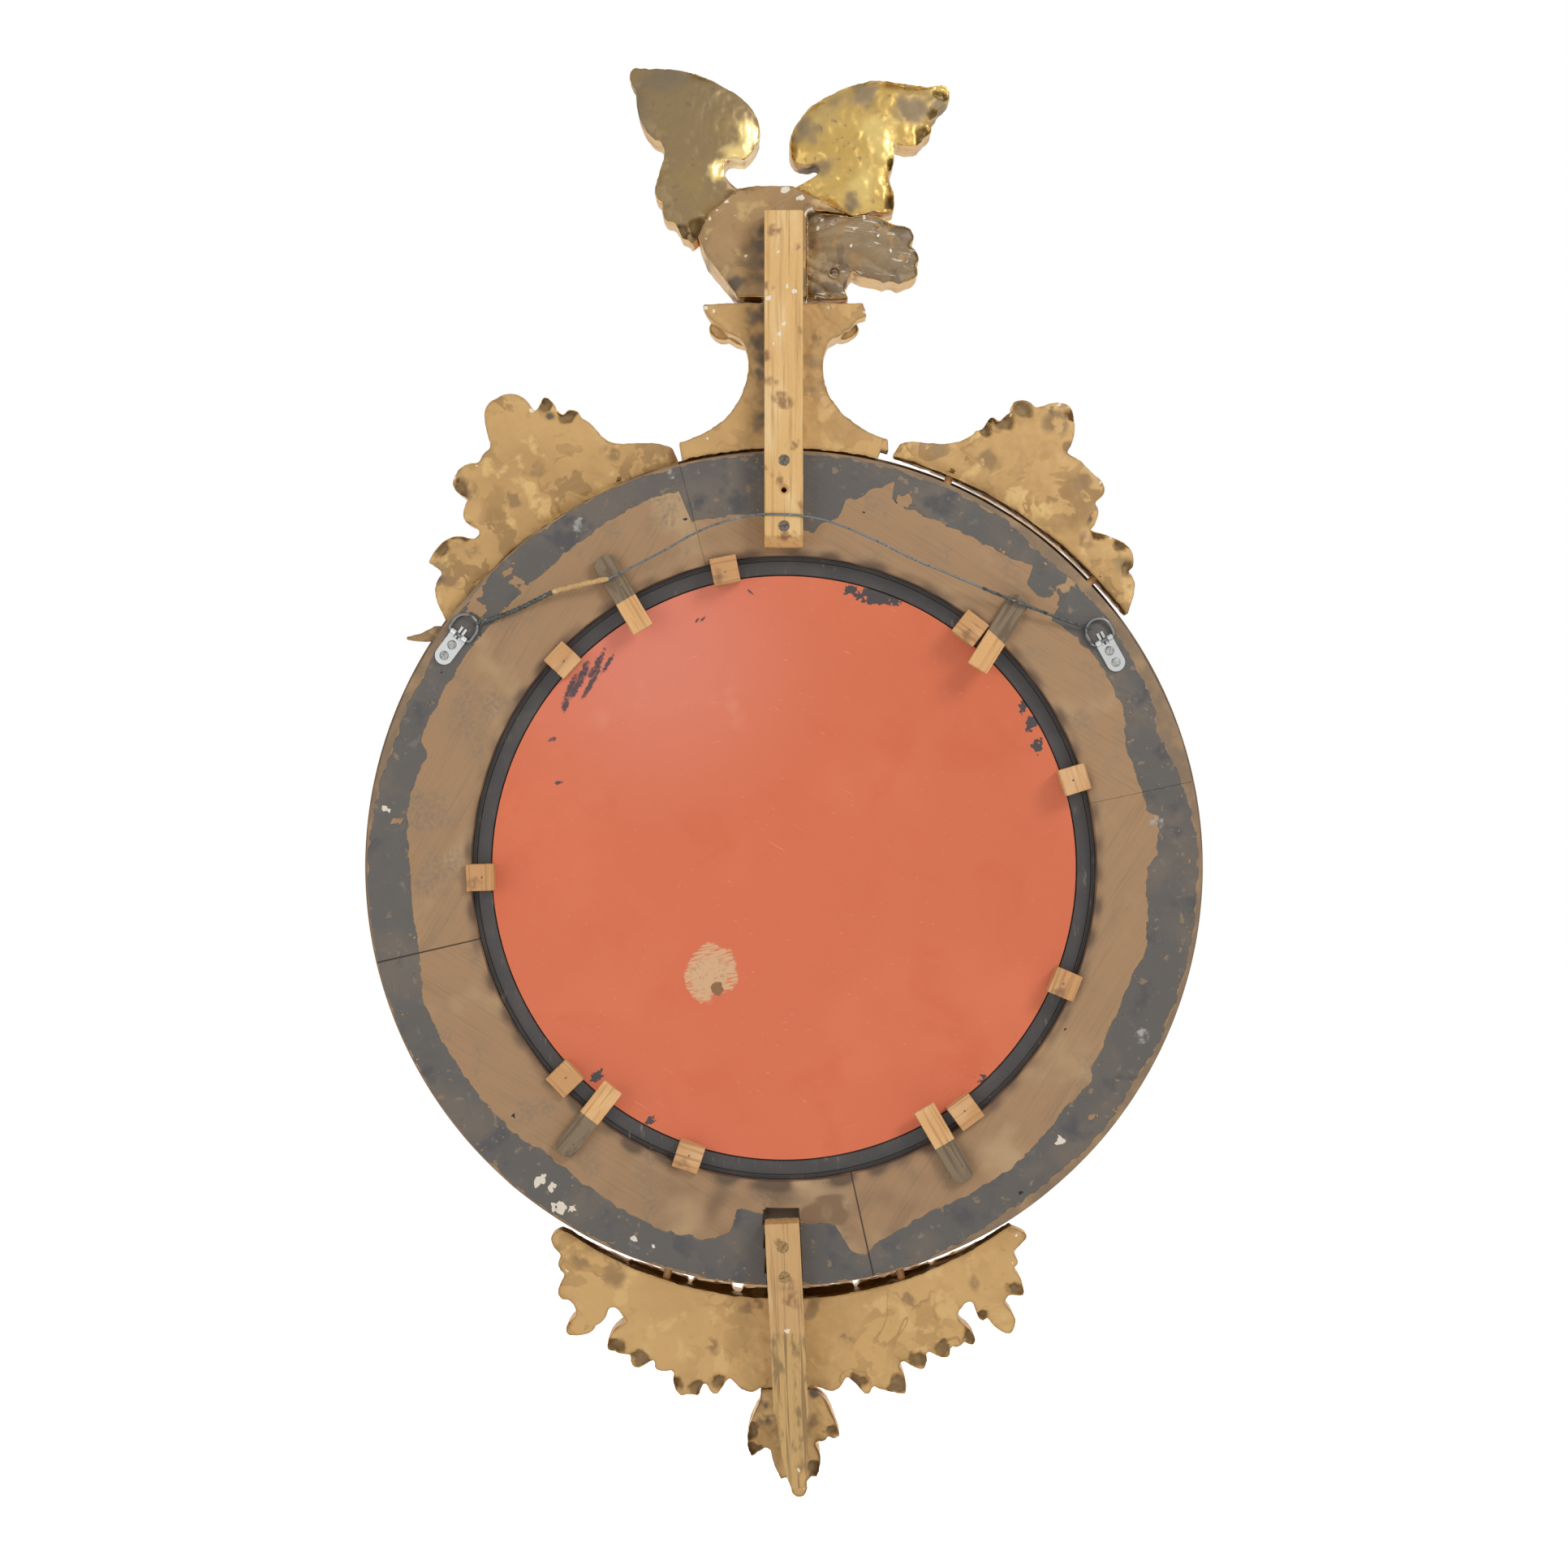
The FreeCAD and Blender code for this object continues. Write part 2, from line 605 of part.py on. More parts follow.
def cut_slot(body, at, depth, head, turn):
    """A screwdriver slot across a head."""
    x, y = turned_point(f"-({head}) - 1", "-slot_width / 2", turn, *at)
    sizes = {"Length": f"2 * ({head}) + 2", "Width": "slot_width", "Height": "slot_depth + 1"}
    primitive(body, "SubtractiveBox", "XZ_Plane", sizes, x=x, y=y, z=f"({depth}) - 1", yaw=f"-({turn})")


def screw_points():
    upper = (("0", "hook_rise + upper_screw_high"), ("0", "hook_rise - upper_screw_low"))
    lower = (lower_point("0", "lower_screw_high"), lower_point("0", "lower_screw_low"))
    return upper, lower


def frame_segment(doc, label, start, end):
    body = ring_body(doc, label)
    corners = (
        ("hole_radius", "ring_back"),
        ("ring_radius - rim_chamfer", "ring_back"),
        ("ring_radius", "ring_back + rim_chamfer"),
        ("ring_radius", "ring_front"),
        ("hole_radius", "ring_front"),
    )
    section = polygon(body, "XY_Plane", [(r, f"-({d})") for r, d in corners], pitch=f"{start} - 90")
    revolve(body, section, f"{end} - ({start})")
    return body


def dowel_hole_in_ring(body, angle):
    radial_rod(body, "SubtractiveCylinder", angle, "ring_radius - dowel_bite", "dowel_bite + 1")


def ring_frame(doc):
    upper_left = frame_segment(doc, "frame_segment_upper_left", "joint_left - 360", "joint_top")
    upper_right = frame_segment(doc, "frame_segment_upper_right", "joint_top", "joint_right")
    lower_right = frame_segment(doc, "frame_segment_lower_right", "joint_right", "joint_foot")
    lower_left = frame_segment(doc, "frame_segment_lower_left", "joint_foot", "joint_left")

    for side in ("-", "+"):
        dowel_hole_in_ring(upper_right, f"leaf_angle_right {side} dowel_spread")
        dowel_hole_in_ring(upper_left, f"-leaf_angle_left {side} dowel_spread")
    dowel_hole_in_ring(lower_right, "180 - apron_spread")
    dowel_hole_in_ring(lower_left, "180 + apron_spread")

    upper, lower = screw_points()
    for at in upper:
        drill(upper_left, at, "ring_back - 1", "screw_length - ring_back + 1", "screw_radius")
    sizes = {
        "Length": "lower_width + 2 * fit_gap",
        "Width": "lower_top + housing_spare",
        "Height": "lower_thickness - ring_back + 1",
    }
    x, y = lower_point("-lower_width / 2 - fit_gap", "0")
    primitive(lower_right, "SubtractiveBox", "XZ_Plane", sizes, x=x, y=y, z="ring_back - 1", yaw="-lower_lean")
    for at in lower:
        drill(lower_right, at, "ring_back - 1", "screw_length - ring_back + 1", "screw_radius")
    for body, side in ((upper_right, "right"), (upper_left, "left")):
        for at in strap_screw_points(side):
            drill(body, at, "ring_back - 1", "strap_screw_length - strap_thickness + 1", "strap_screw_radius")
    return [upper_left, upper_right, lower_right, lower_left]


def mouldings(doc):
    cove = turned_ring(
        doc,
        "cove_moulding",
        (
            ("hole_radius", "ring_front"),
            ("moulding_radius", "ring_front"),
            ("moulding_radius", "moulding_front"),
            ("cove_centre", "moulding_front"),
            ("cove_centre - cove_radius / 2", "ring_front + moulding_inner_edge"),
            ("hole_radius", "ring_front + moulding_inner_edge"),
        ),
    )
    hollow = {"Radius1": "cove_centre", "Radius2": "cove_radius"}
    primitive(cove, "SubtractiveTorus", "XZ_Plane", hollow, z="moulding_front + cove_outset")

    balls = ring_body(doc, "cove_balls")
    ball_depth = "moulding_front + cove_outset - cove_radius + ball_radius"
    ball = primitive(balls, "AdditiveSphere", "XZ_Plane", {"Radius": "ball_radius"}, y="cove_centre", z=ball_depth)
    pattern(balls, ball, "ball_count")

    band = ring_body(doc, "reeded_outer_band")
    round_bead(band, "moulding_radius + band_radius", "ring_front + band_gap + band_radius", "band_radius")

    bead = turned_ring(
        doc,
        "inner_bead",
        (
            ("hole_radius - bead_width", "slip_front"),
            ("hole_radius - fit_gap", "slip_front"),
            ("hole_radius - fit_gap", "slip_front + bead_height"),
            ("hole_radius - bead_width", "slip_front + bead_height"),
        ),
    )
    round_bead(bead, "hole_radius - bead_width / 2 - fit_gap", "slip_front + bead_height", "bead_radius")
    return [cove, balls, band, bead]


def slip_and_glass(doc):
    slip = turned_ring(
        doc,
        "ebonised_slip",
        (
            ("plate_radius + fit_gap", "slip_depth"),
            ("hole_radius - fit_gap", "slip_depth"),
            ("hole_radius - fit_gap", "slip_front"),
            ("plate_radius", "slip_front"),
            ("slip_sight", "slip_front - slip_slope"),
            ("slip_sight", "slip_ledge + (plate_radius + fit_gap - slip_sight) * tan(edge_slope)"),
            ("plate_radius + fit_gap", "slip_ledge"),
        ),
    )
    rise = "slip_slope / (plate_radius - slip_sight)"
    for reed in range(2):
        across = f"({reed} * 2 + 1.4) * reed_radius"
        depth = f"slip_front - slip_slope + {across} * {rise}"
        round_bead(slip, f"slip_sight + {across}", depth, "reed_radius")
    sheet = shell_disc(doc, "backing_sheet", "sphere_radius", "sphere_radius + sheet_thickness")
    back = "sphere_radius + sheet_thickness"
    plate = shell_disc(doc, "mirror_plate", back, f"{back} + plate_thickness")
    return [slip, sheet, plate]


def shell_disc(doc, label, inner, outer):
    """A domed round between two spheres that share a centre behind the wall."""
    centre = "sphere_radius - plate_bulge - slip_depth - fit_gap"
    balls = []
    for name, radius in (("_outer", outer), ("_inner", inner)):
        ball = doc.addObject("Part::Sphere", label + name)
        bind(ball, Radius=radius, Placement=place(y=centre, z="-hook_rise"))
        balls.append(ball)
    shell = doc.addObject("Part::Cut", label + "_shell")
    shell.Base, shell.Tool = balls
    round_off = doc.addObject("Part::Cylinder", label + "_round")
    length = "2 * plate_bulge + slip_depth"
    bind(round_off, Radius="plate_radius", Height=length, Placement=place(z="-hook_rise", roll="90"))
    disc = doc.addObject("Part::Common", label)
    disc.Base, disc.Tool = shell, round_off
    disc.Label = label
    return disc


def glass_clip(doc, label, angle, lean):
    body = ring_body(doc, label, turn=lean, at=turned_point("0", "clip_middle", angle))
    half, end = "clip_width / 2", "clip_length / 2"
    corners = (
        (f"-{half}", f"-{end}"),
        (half, f"-{end}"),
        (half, f"{end} - clip_round"),
        (f"{half} - clip_round", end),
        (f"-{half} + clip_round", end),
        (f"-{half}", f"{end} - clip_round"),
    )
    pad(body, polygon(body, "XZ_Plane", corners, z="ring_back - clip_thickness"), "clip_thickness")
    return body


def glue_block(doc, label, angle):
    body = ring_body(doc, label, turn=angle)
    back, inner = "block_stand - ring_back", "hole_radius - block_reach"
    corners = (
        ("-slip_depth", inner),
        ("-slip_depth", "hole_radius - fit_gap"),
        ("-ring_back", "hole_radius - fit_gap"),
        ("-ring_back", "hole_radius + block_lap"),
        (back, "hole_radius + block_lap"),
        (back, inner),
    )
    pad(body, polygon(body, "YZ_Plane", corners), "block_width", middle=True)
    return body


def clips_and_blocks(doc):
    pieces = [glass_clip(doc, *row) for row in GLASS_CLIPS]
    pieces += [glue_block(doc, f"glue_block_{i}", angle) for i, angle in enumerate(BLOCK_ANGLES, 1)]
    brads = ring_body(doc, "clip_brads")
    for _, angle, lean in GLASS_CLIPS:
        for across, along in CLIP_BRADS:
            at = turned_point(str(across), str(along), lean, *turned_point("0", "clip_middle", angle))
            drive(brads, at, "ring_back - clip_thickness - 0.3", "clip_thickness + brad_bite", "brad_radius")
    for angle in BLOCK_ANGLES:
        at = turned_point("0", "hole_radius - block_reach / 2", angle)
        length = "slip_depth - ring_back + block_stand + brad_bite"
        drive(brads, at, "ring_back - block_stand - 0.3", length, "brad_radius")
    return pieces + [brads]


def countersink(body, at, depth="0"):
    x, y = at
    cone = {"Radius1": "screw_head", "Radius2": "screw_radius", "Height": "screw_sink"}
    primitive(body, "SubtractiveCone", "XZ_Plane", cone, x=x, y=y, z=depth)
    drill(body, at, depth, "lower_thickness + 1", "screw_radius")


def wood_screws(doc, label, points, turns):
    body = ring_body(doc, label)
    for (x, y), turn in zip(points, turns):
        cone = {"Radius1": "screw_head", "Radius2": "screw_radius", "Height": "screw_sink"}
        primitive(body, "AdditiveCone", "XZ_Plane", cone, x=x, y=y)
        drive(body, (x, y), "0", "screw_length", "screw_radius")
        cut_slot(body, (x, y), "0", "screw_head", turn)
    return body


def battens(doc):
    upper_points, lower_points = screw_points()
    foot = "hook_rise - upper_foot"
    upper = ring_body(doc, "upper_batten", at=("upper_shift", "0"))
    side = (
        ("-ring_back", foot),
        ("-ring_back", "hook_rise + upper_top"),
        ("0", "hook_rise + upper_top"),
        ("0", f"{foot} + foot_bevel_rise"),
        ("-foot_bevel_depth", foot),
    )
    pad(upper, polygon(upper, "YZ_Plane", side), "upper_width", middle=True)
    for x, y in upper_points + (("0", "hook_rise + empty_hole_rise"),):
        countersink(upper, (f"{x} - upper_shift", y))

    lower = ring_body(doc, "lower_batten")
    x, y = lower_point("-lower_width / 2", "-100")
    strip = {"Length": "lower_width", "Width": "lower_top + 100", "Height": "lower_thickness"}
    primitive(lower, "AdditiveBox", "XZ_Plane", strip, x=x, y=y, yaw="-lower_lean")
    x, y = lower_point("0", "0")
    pad(lower, outline(lower, LOWER_END, x=x, y=y, yaw="-lower_lean"), "lower_thickness")
    for at in lower_points:
        countersink(lower, at)

    upper_screws = wood_screws(doc, "upper_batten_screws", upper_points, (70, 10))
    lower_screws = wood_screws(doc, "lower_batten_screws", lower_points, (55, 20))
    return [upper, lower, upper_screws, lower_screws]


def crest(doc):
    plinth = ring_body(doc, "crest_plinth")
    pad(plinth, outline(plinth, PLINTH, y="crest_datum", z="ring_back"), "plinth_thickness")
    cut_round(plinth, "ring_radius + crest_gap", "ring_back - 1", "plinth_thickness + 2")

    rock = ring_body(doc, "rockwork")
    pad(rock, outline(rock, ROCKWORK, y="crest_datum", z="rock_back"), "rock_thickness")
    radii = ("85", "30", "rock_thickness")
    rock = domed(doc, "rockwork", rock, ("0", "crest_datum + 115"), "rock_back", radii)

    feet = ring_body(doc, "eagle_feet")
    sizes = {"Length": "foot_width", "Width": "foot_height", "Height": "foot_length"}
    for side in ("14 - foot_spread - foot_width / 2", "14 + foot_spread - foot_width / 2"):
        primitive(feet, "AdditiveBox", "XZ_Plane", sizes, x=side, y="crest_datum + rock_top", z="rock_back + 4")
    return [plinth, rock, feet]


def eagle(doc):
    body = ring_body(doc, "eagle_body")
    pad(body, outline(body, EAGLE_BODY, y="crest_datum", z="ring_back"), "body_thickness")
    body = domed(doc, "eagle_body", body, ("28", "crest_datum + 182"), "ring_back", ("110", "75", "body_thickness"))

    wings = []
    for label, stretches, middle in (("eagle_wing_right", WING_RIGHT, "80"), ("eagle_wing_left", WING_LEFT, "-75")):
        wing = ring_body(doc, label)
        pad(wing, outline(wing, stretches, y="crest_datum", z="wing_depth - wing_half"), "2 * wing_half")
        wings.append(domed(doc, label, wing, (middle, "crest_datum + 265"), "wing_depth", ("95", "125", "wing_half")))

    tail = ring_body(doc, "eagle_tail")
    pad(tail, outline(tail, EAGLE_TAIL, y="crest_datum", z="tail_depth - tail_half"), "2 * tail_half")
    drill(tail, ("-45", "crest_datum + 157"), "0", "2 * tail_depth", "tail_hole")
    tail = domed(doc, "eagle_tail", tail, ("-65", "crest_datum + 175"), "tail_depth", ("110", "85", "tail_half"))

    head = ring_body(doc, "eagle_head")
    skull = {"Radius1": "head_radius * 0.9", "Radius2": "head_radius", "Radius3": "head_radius"}
    neck = {"Radius1": "head_radius", "Radius2": "head_radius * 0.85", "Radius3": "head_radius * 1.5"}
    beak = {"Radius1": "head_radius * 0.45", "Radius2": "0.8", "Height": "head_radius * 1.1"}
    primitive(head, "AdditiveEllipsoid", "XZ_Plane", neck, x="16", y="crest_datum + 212", z="94")
    primitive(head, "AdditiveEllipsoid", "XZ_Plane", skull, x="20", y="crest_datum + 227", z="104")
    primitive(head, "AdditiveCone", "XZ_Plane", beak, x="29", y="crest_datum + 225", z="106", yaw="-20", pitch="90")
    head.Label = "eagle_head_block"
    seated = doc.addObject("Part::Cut", "eagle_head")
    seated.Base, seated.Tool = head, body
    seated.Label = "eagle_head"
    return [body, *wings, tail, seated]


def leaf_bracket(doc, label, stretches, turn, seat, gap):
    body = ring_body(doc, label, turn=turn)
    datum = f"ring_radius + {seat}"
    pad(body, outline(body, stretches, y=datum, z="leaf_back"), "leaf_thickness")
    cut_round(body, f"ring_radius + {gap}", "leaf_back - 1", "leaf_thickness + 2")
    cut_round(body, "band_edge", "ring_front", "leaf_thickness")
    for side in ("-dowel_spread", "dowel_spread"):
        radial_rod(body, "SubtractiveCylinder", side, "ring_radius", f"{gap} + dowel_reach")
    return domed(doc, label, body, ("0", f"{datum} + 25"), "leaf_back", ("165", "115", "leaf_thickness"), turn)


def side_leaves(doc):
    right = ("leaf_angle_right", "leaf_seat_right", "leaf_gap_right")
    left = ("-leaf_angle_left", "leaf_seat_left", "leaf_gap_left")
    tip = ring_body(doc, "broken_leaf_tip", turn="leaf_tip_angle")
    pad(tip, outline(tip, LEAF_TIP, y="ring_radius", z="leaf_back + 4"), "leaf_tip_thickness")
    cut_round(tip, "ring_radius", "leaf_back", "leaf_tip_thickness + 8")
    drill(tip, ("3.9", "ring_radius + 16.3"), "0", "ring_back + ring_thickness", "tip_hole")
    return [
        leaf_bracket(doc, "leaf_bracket_right", LEAF_RIGHT, *right),
        leaf_bracket(doc, "leaf_bracket_left", LEAF_LEFT, *left),
        tip,
    ]


def apron_and_pendant(doc):
    apron = ring_body(doc, "apron")
    pad(apron, outline(apron, APRON, y="foot_datum", z="lower_thickness"), "apron_thickness")
    arc_centre = "apron_arc - ring_radius - apron_gap"
    cut_round(apron, "apron_arc", "lower_thickness - 1", "apron_thickness + 2", y=arc_centre)
    cut_round(apron, "band_edge", "ring_front", "apron_thickness")
    for angle in ("180 - apron_spread", "180 + apron_spread"):
        radial_rod(apron, "SubtractiveCylinder", angle, "ring_radius", "apron_gap + dowel_reach")
    radii = ("300", "150", "apron_thickness")
    apron = domed(doc, "apron", apron, ("0", "foot_datum - 20"), "lower_thickness", radii)

    pendant = ring_body(doc, "pendant_drop")
    pad(pendant, outline(pendant, PENDANT, y="foot_datum", z="lower_thickness"), "pendant_thickness")
    radii = ("75", "85", "pendant_thickness")
    pendant = domed(doc, "pendant_drop", pendant, ("-7", "foot_datum - 135"), "lower_thickness", radii)
    return [apron, pendant]


def dowels(doc):
    body = ring_body(doc, "bracket_dowels")
    start = "ring_radius - dowel_bite"
    for side in ("-", "+"):
        right = f"leaf_angle_right {side} dowel_spread"
        left = f"-leaf_angle_left {side} dowel_spread"
        radial_rod(body, "AdditiveCylinder", right, start, "dowel_bite + leaf_gap_right + dowel_reach")
        radial_rod(body, "AdditiveCylinder", left, start, "dowel_bite + leaf_gap_left + dowel_reach")
        apron = f"180 {side} apron_spread"
        radial_rod(body, "AdditiveCylinder", apron, start, "dowel_bite + apron_gap + dowel_reach")
    return [body]


def hanger_place(side):
    """Place of a hanger's bar and its turn about the ring's axis, as expressions."""
    sign, turn = ("", "-") if side == "right" else ("-", "")
    x, y = turned_point("0", f"ring_radius - hanger_{side}_inset", f"{sign}hanger_{side}_angle")
    return x, y, f"{turn}hanger_{side}_lean"


def strap_screw_points(side):
    x, y, turn = hanger_place(side)
    return [turned_point("0", f"-{reach}", turn, x, y) for reach in ("strap_screw_near", "strap_screw_far")]


def hanger_body(doc, label, side):
    x, y, turn = hanger_place(side)
    return ring_body(doc, label, turn=turn, at=(x, y))


def swinging_body(doc, label, side):
    """A body whose origin is on the hanger's bar, tilted as the D-ring rests."""
    x, y, turn = hanger_place(side)
    return ring_body(doc, label, turn=turn, at=(x, y), depth="bar_depth", roll="-dring_lift")


def strap(doc, side):
    body = hanger_body(doc, f"hanger_strap_{side}", side)
    half, back = "strap_width / 2", "ring_back - strap_thickness"
    plate = {
        "Length": "strap_width",
        "Width": f"strap_end - {half} - strap_start",
        "Height": "strap_thickness",
    }
    primitive(body, "AdditiveBox", "XZ_Plane", plate, x=f"-{half}", y=f"{half} - strap_end", z=back)
    drive(body, ("0", f"{half} - strap_end"), back, "strap_thickness", half)
    web = {"Length": "lug_width", "Width": "strap_start", "Height": "strap_thickness"}
    lug = {"Radius": "lug_radius", "Height": "lug_width"}
    for x in (f"-{half}", f"{half} - lug_width"):
        primitive(body, "AdditiveBox", "XZ_Plane", web, x=x, y="-strap_start", z=back)
        primitive(body, "AdditiveCylinder", "YZ_Plane", lug, x="-bar_depth", z=x)
    thin = "lug_wall - pin_gap"
    prong = {"Length": "prong_width", "Width": "strap_start + prong_length", "Height": thin}
    for x in ("-prong_width * 1.4", "prong_width * 0.4"):
        primitive(body, "AdditiveBox", "XZ_Plane", prong, x=x, y="-strap_start", z=f"ring_back - ({thin})")
    bore = {"Radius": "dring_wire + pin_gap", "Height": "strap_width + 2"}
    primitive(body, "SubtractiveCylinder", "YZ_Plane", bore, x="-bar_depth", z=f"-{half} - 1")
    for reach in ("strap_screw_near", "strap_screw_far"):
        drill(body, ("0", f"-{reach}"), "0", "ring_back + 1", "strap_screw_radius")
    return body


def strap_screws(doc, side):
    body = hanger_body(doc, f"hanger_screws_{side}", side)
    seat = "ring_back - strap_thickness"
    head = {
        "Radius1": "strap_screw_head * 0.7",
        "Radius2": "strap_screw_head",
        "Height": "strap_screw_dome",
    }
    for reach, turn in (("strap_screw_near", 50), ("strap_screw_far", -25)):
        at = ("0", f"-{reach}")
        top = f"{seat} - strap_screw_dome"
        primitive(body, "AdditiveCone", "XZ_Plane", head, x=at[0], y=at[1], z=top)
        drive(body, at, seat, "strap_screw_length", "strap_screw_radius")
        cut_slot(body, at, top, "strap_screw_head", turn)
    return body


def d_ring(doc, side):
    body = swinging_body(doc, f"d_ring_{side}", side)
    inset = "(dring_bow - dring_corner)"
    bar = {"Radius": "dring_wire", "Height": f"2 * {inset}"}
    leg = {"Radius": "dring_wire", "Height": "dring_leg - dring_corner"}
    corner = {"Radius1": "dring_corner", "Radius2": "dring_wire", "Angle3": "90"}
    bow = {"Radius1": "dring_bow", "Radius2": "dring_wire", "Angle3": "180"}
    primitive(body, "AdditiveCylinder", "YZ_Plane", bar, z=f"-{inset}")
    for sign, yaw in (("", "-90"), ("-", "180")):
        primitive(body, "AdditiveTorus", "XZ_Plane", corner, x=f"{sign}{inset}", y="dring_corner", yaw=yaw)
        primitive(body, "AdditiveCylinder", "XY_Plane", leg, x=f"{sign}dring_bow", z="dring_corner")
    primitive(body, "AdditiveTorus", "XZ_Plane", bow, y="dring_leg")
    return body


def wire_eye(doc, side):
    body = swinging_body(doc, f"wire_eye_{side}", side)
    angle = f"eye_angle_{side}"
    loop = {"Radius1": "dring_wire + pin_gap + wire_radius", "Radius2": "wire_radius"}
    x = f"dring_bow * sin({angle} * 1deg)"
    y = f"dring_leg + dring_bow * cos({angle} * 1deg)"
    primitive(body, "AdditiveTorus", "XZ_Plane", loop, x=x, y=y, yaw=f"-{angle}", pitch="90")
    return body


# The wire's route from the right hanger to the left one, as (X, depth, height above the hook)
TAIL_ROUTE = ((245.5, 18.2, -87.2), (227, 16.2, -78.9), (205.7, 13.9, -68.3))
TAPE_ROUTE = ((205.7, 13.9, -68.3), (181, 11.9, -61.5), (155.1, 9.8, -56.6))
WIRE_ROUTE = (
    (155.1, 9.8, -56.6),
    (115.3, 6.6, -37.7),
    (75.8, 3.4, -14.5),
    (43.6, 0.9, -3.9),
    (18.5, -1.4, 0),
    (-19, -1.4, -1.6),
    (-49, 0.6, -9.4),
    (-81.7, 3.8, -23.3),
    (-114.6, 6.6, -40.2),
    (-152.7, 9.6, -55),
    (-175.5, 11, -64.8),
)
DOUBLE_ROUTE = ((-175.5, 11, -64.8), (-199, 12.1, -74.2), (-231, 14.3, -86.4), (-249, 16.9, -92.6))


def rounded_path(points):
    """Straight runs joined by tangent arcs as large as their runs allow, and the arcs' radii."""
    edges, radii, here = [], [], points[0]
    for before, corner, after in zip(points, points[1:], points[2:]):
        back, on = (before - corner), (after - corner)
        turn = math.pi - back.getAngle(on)
        reach = 0.45 * min(back.Length, on.Length)
        radii.append(reach / math.tan(turn / 2))
        start, end = corner + back.normalize() * reach, corner + on.normalize() * reach
        centre = corner + (back + on).normalize() * (reach / math.sin(turn / 2))
        middle = centre + (corner - centre).normalize() * radii[-1]
        edges += [Part.LineSegment(here, start).toShape(), Part.Arc(start, middle, end).toShape()]
        here = end
    edges.append(Part.LineSegment(here, points[-1]).toShape())
    return Part.Wire(edges), radii


def tube(doc, label, points, radius):
    """A round tube of this radius along a route."""
    path, radii = rounded_path(points)
    along = points[1] - points[0]
    section = Part.Wire(Part.Circle(points[0], along, radius).toShape())
    piece = doc.addObject("Part::Feature", label)
    piece.Label = label
    piece.Shape = path.makePipeShell([section], True, False)
    expected = math.pi * radius**2 * path.Length
    print(f"{label}: {path.Length:.1f} mm long, volume {piece.Shape.Volume / expected:.4f} of its section times length")
    print(f"{label}: arcs of radius {', '.join(f'{r:.0f}' for r in radii)} mm")
    return piece


def eye_middle(doc, side):
    """Centre of the wire's eye, in the row's frame."""
    loop = next(f for f in doc.getObject(f"wire_eye_{side}").Group if f.TypeId.endswith("AdditiveTorus"))
    return doc.getObject(f"wire_eye_{side}").Placement.multVec(loop.Placement.Base)


def hanging_wire(doc, sheet):
    def route(rows):
        return [V(x, -depth, height) for x, depth, height in rows]

    def from_eye(side, rows):
        """The route with a first point on the outside of the eye, on the way to the next one."""
        middle, points = eye_middle(doc, side), route(rows)
        reach = sheet.dring_wire + sheet.pin_gap + 2 * sheet.wire_radius
        return [middle + (points[0] - middle).normalize() * reach] + points

    return [
        tube(doc, "wire_twisted_tail", from_eye("right", TAIL_ROUTE), sheet.tail_radius),
        tube(doc, "wire_tape_wrap", route(TAPE_ROUTE), sheet.tape_radius),
        tube(doc, "hanging_wire", route(WIRE_ROUTE), sheet.wire_radius),
        tube(doc, "wire_doubled_end", from_eye("left", DOUBLE_ROUTE[::-1]), sheet.double_radius),
    ]


def failures(doc, pieces):
    """What went wrong, if anything: failed objects, and pieces with no valid solid."""
    found = [f"{o.Label}: {o.State}" for o in doc.Objects if "Invalid" in o.State or "Error" in o.State]
    for piece in pieces:
        shape = piece.Shape
        if shape.isNull() or not shape.isValid() or not shape.Solids:
            found.append(f"{piece.Label}: no valid solid")
    return found


def main():
    doc = FreeCAD.newDocument("girandole_mirror")
    sheet = add_sheet(doc)
    pieces = ring_frame(doc) + mouldings(doc) + slip_and_glass(doc) + clips_and_blocks(doc)
    pieces += battens(doc) + crest(doc) + eagle(doc) + side_leaves(doc) + apron_and_pendant(doc) + dowels(doc)
    for side in ("right", "left"):
        pieces += [strap(doc, side), strap_screws(doc, side), d_ring(doc, side), wire_eye(doc, side)]
    doc.recompute()
    pieces += hanging_wire(doc, sheet)
    doc.recompute()

    problems = failures(doc, pieces)
    if problems:
        raise SystemExit("\n".join(problems))
    os.makedirs("parts", exist_ok=True)
    for piece in pieces:
        piece.Shape.exportStep(f"parts/{piece.Label}.step")
        print(f"{piece.Label}: {len(piece.Shape.Solids)} solid(s), {piece.Shape.Volume / 1000:.1f} cm3")


main()
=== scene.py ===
import math

import bmesh
import bpy
import numpy as np
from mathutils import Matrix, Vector
from mathutils.kdtree import KDTree


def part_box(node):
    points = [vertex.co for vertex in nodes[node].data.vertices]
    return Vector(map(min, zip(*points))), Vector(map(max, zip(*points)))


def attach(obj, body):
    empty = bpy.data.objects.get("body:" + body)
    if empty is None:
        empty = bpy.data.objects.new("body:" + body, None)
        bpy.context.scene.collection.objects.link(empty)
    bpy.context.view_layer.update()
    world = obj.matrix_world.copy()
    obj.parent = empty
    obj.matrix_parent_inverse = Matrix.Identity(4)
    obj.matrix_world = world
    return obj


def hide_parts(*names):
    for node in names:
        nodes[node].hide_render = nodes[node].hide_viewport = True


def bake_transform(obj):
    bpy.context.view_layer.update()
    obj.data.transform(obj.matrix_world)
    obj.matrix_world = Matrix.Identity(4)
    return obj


# The looks of a round girandole mirror of gilt wood, seen from its back.
# The meshes are in metres, with X to the right as seen from the front, Z up, and the wall at Y = 0.
# Sizes below are in millimetres unless a comment says metres.
# "Depth" is the distance from the wall towards the room, which is -Y.
# "Clock" angles are in degrees clockwise from the top, as seen from the back. Other angles round the ring grow
# from the top towards +X.

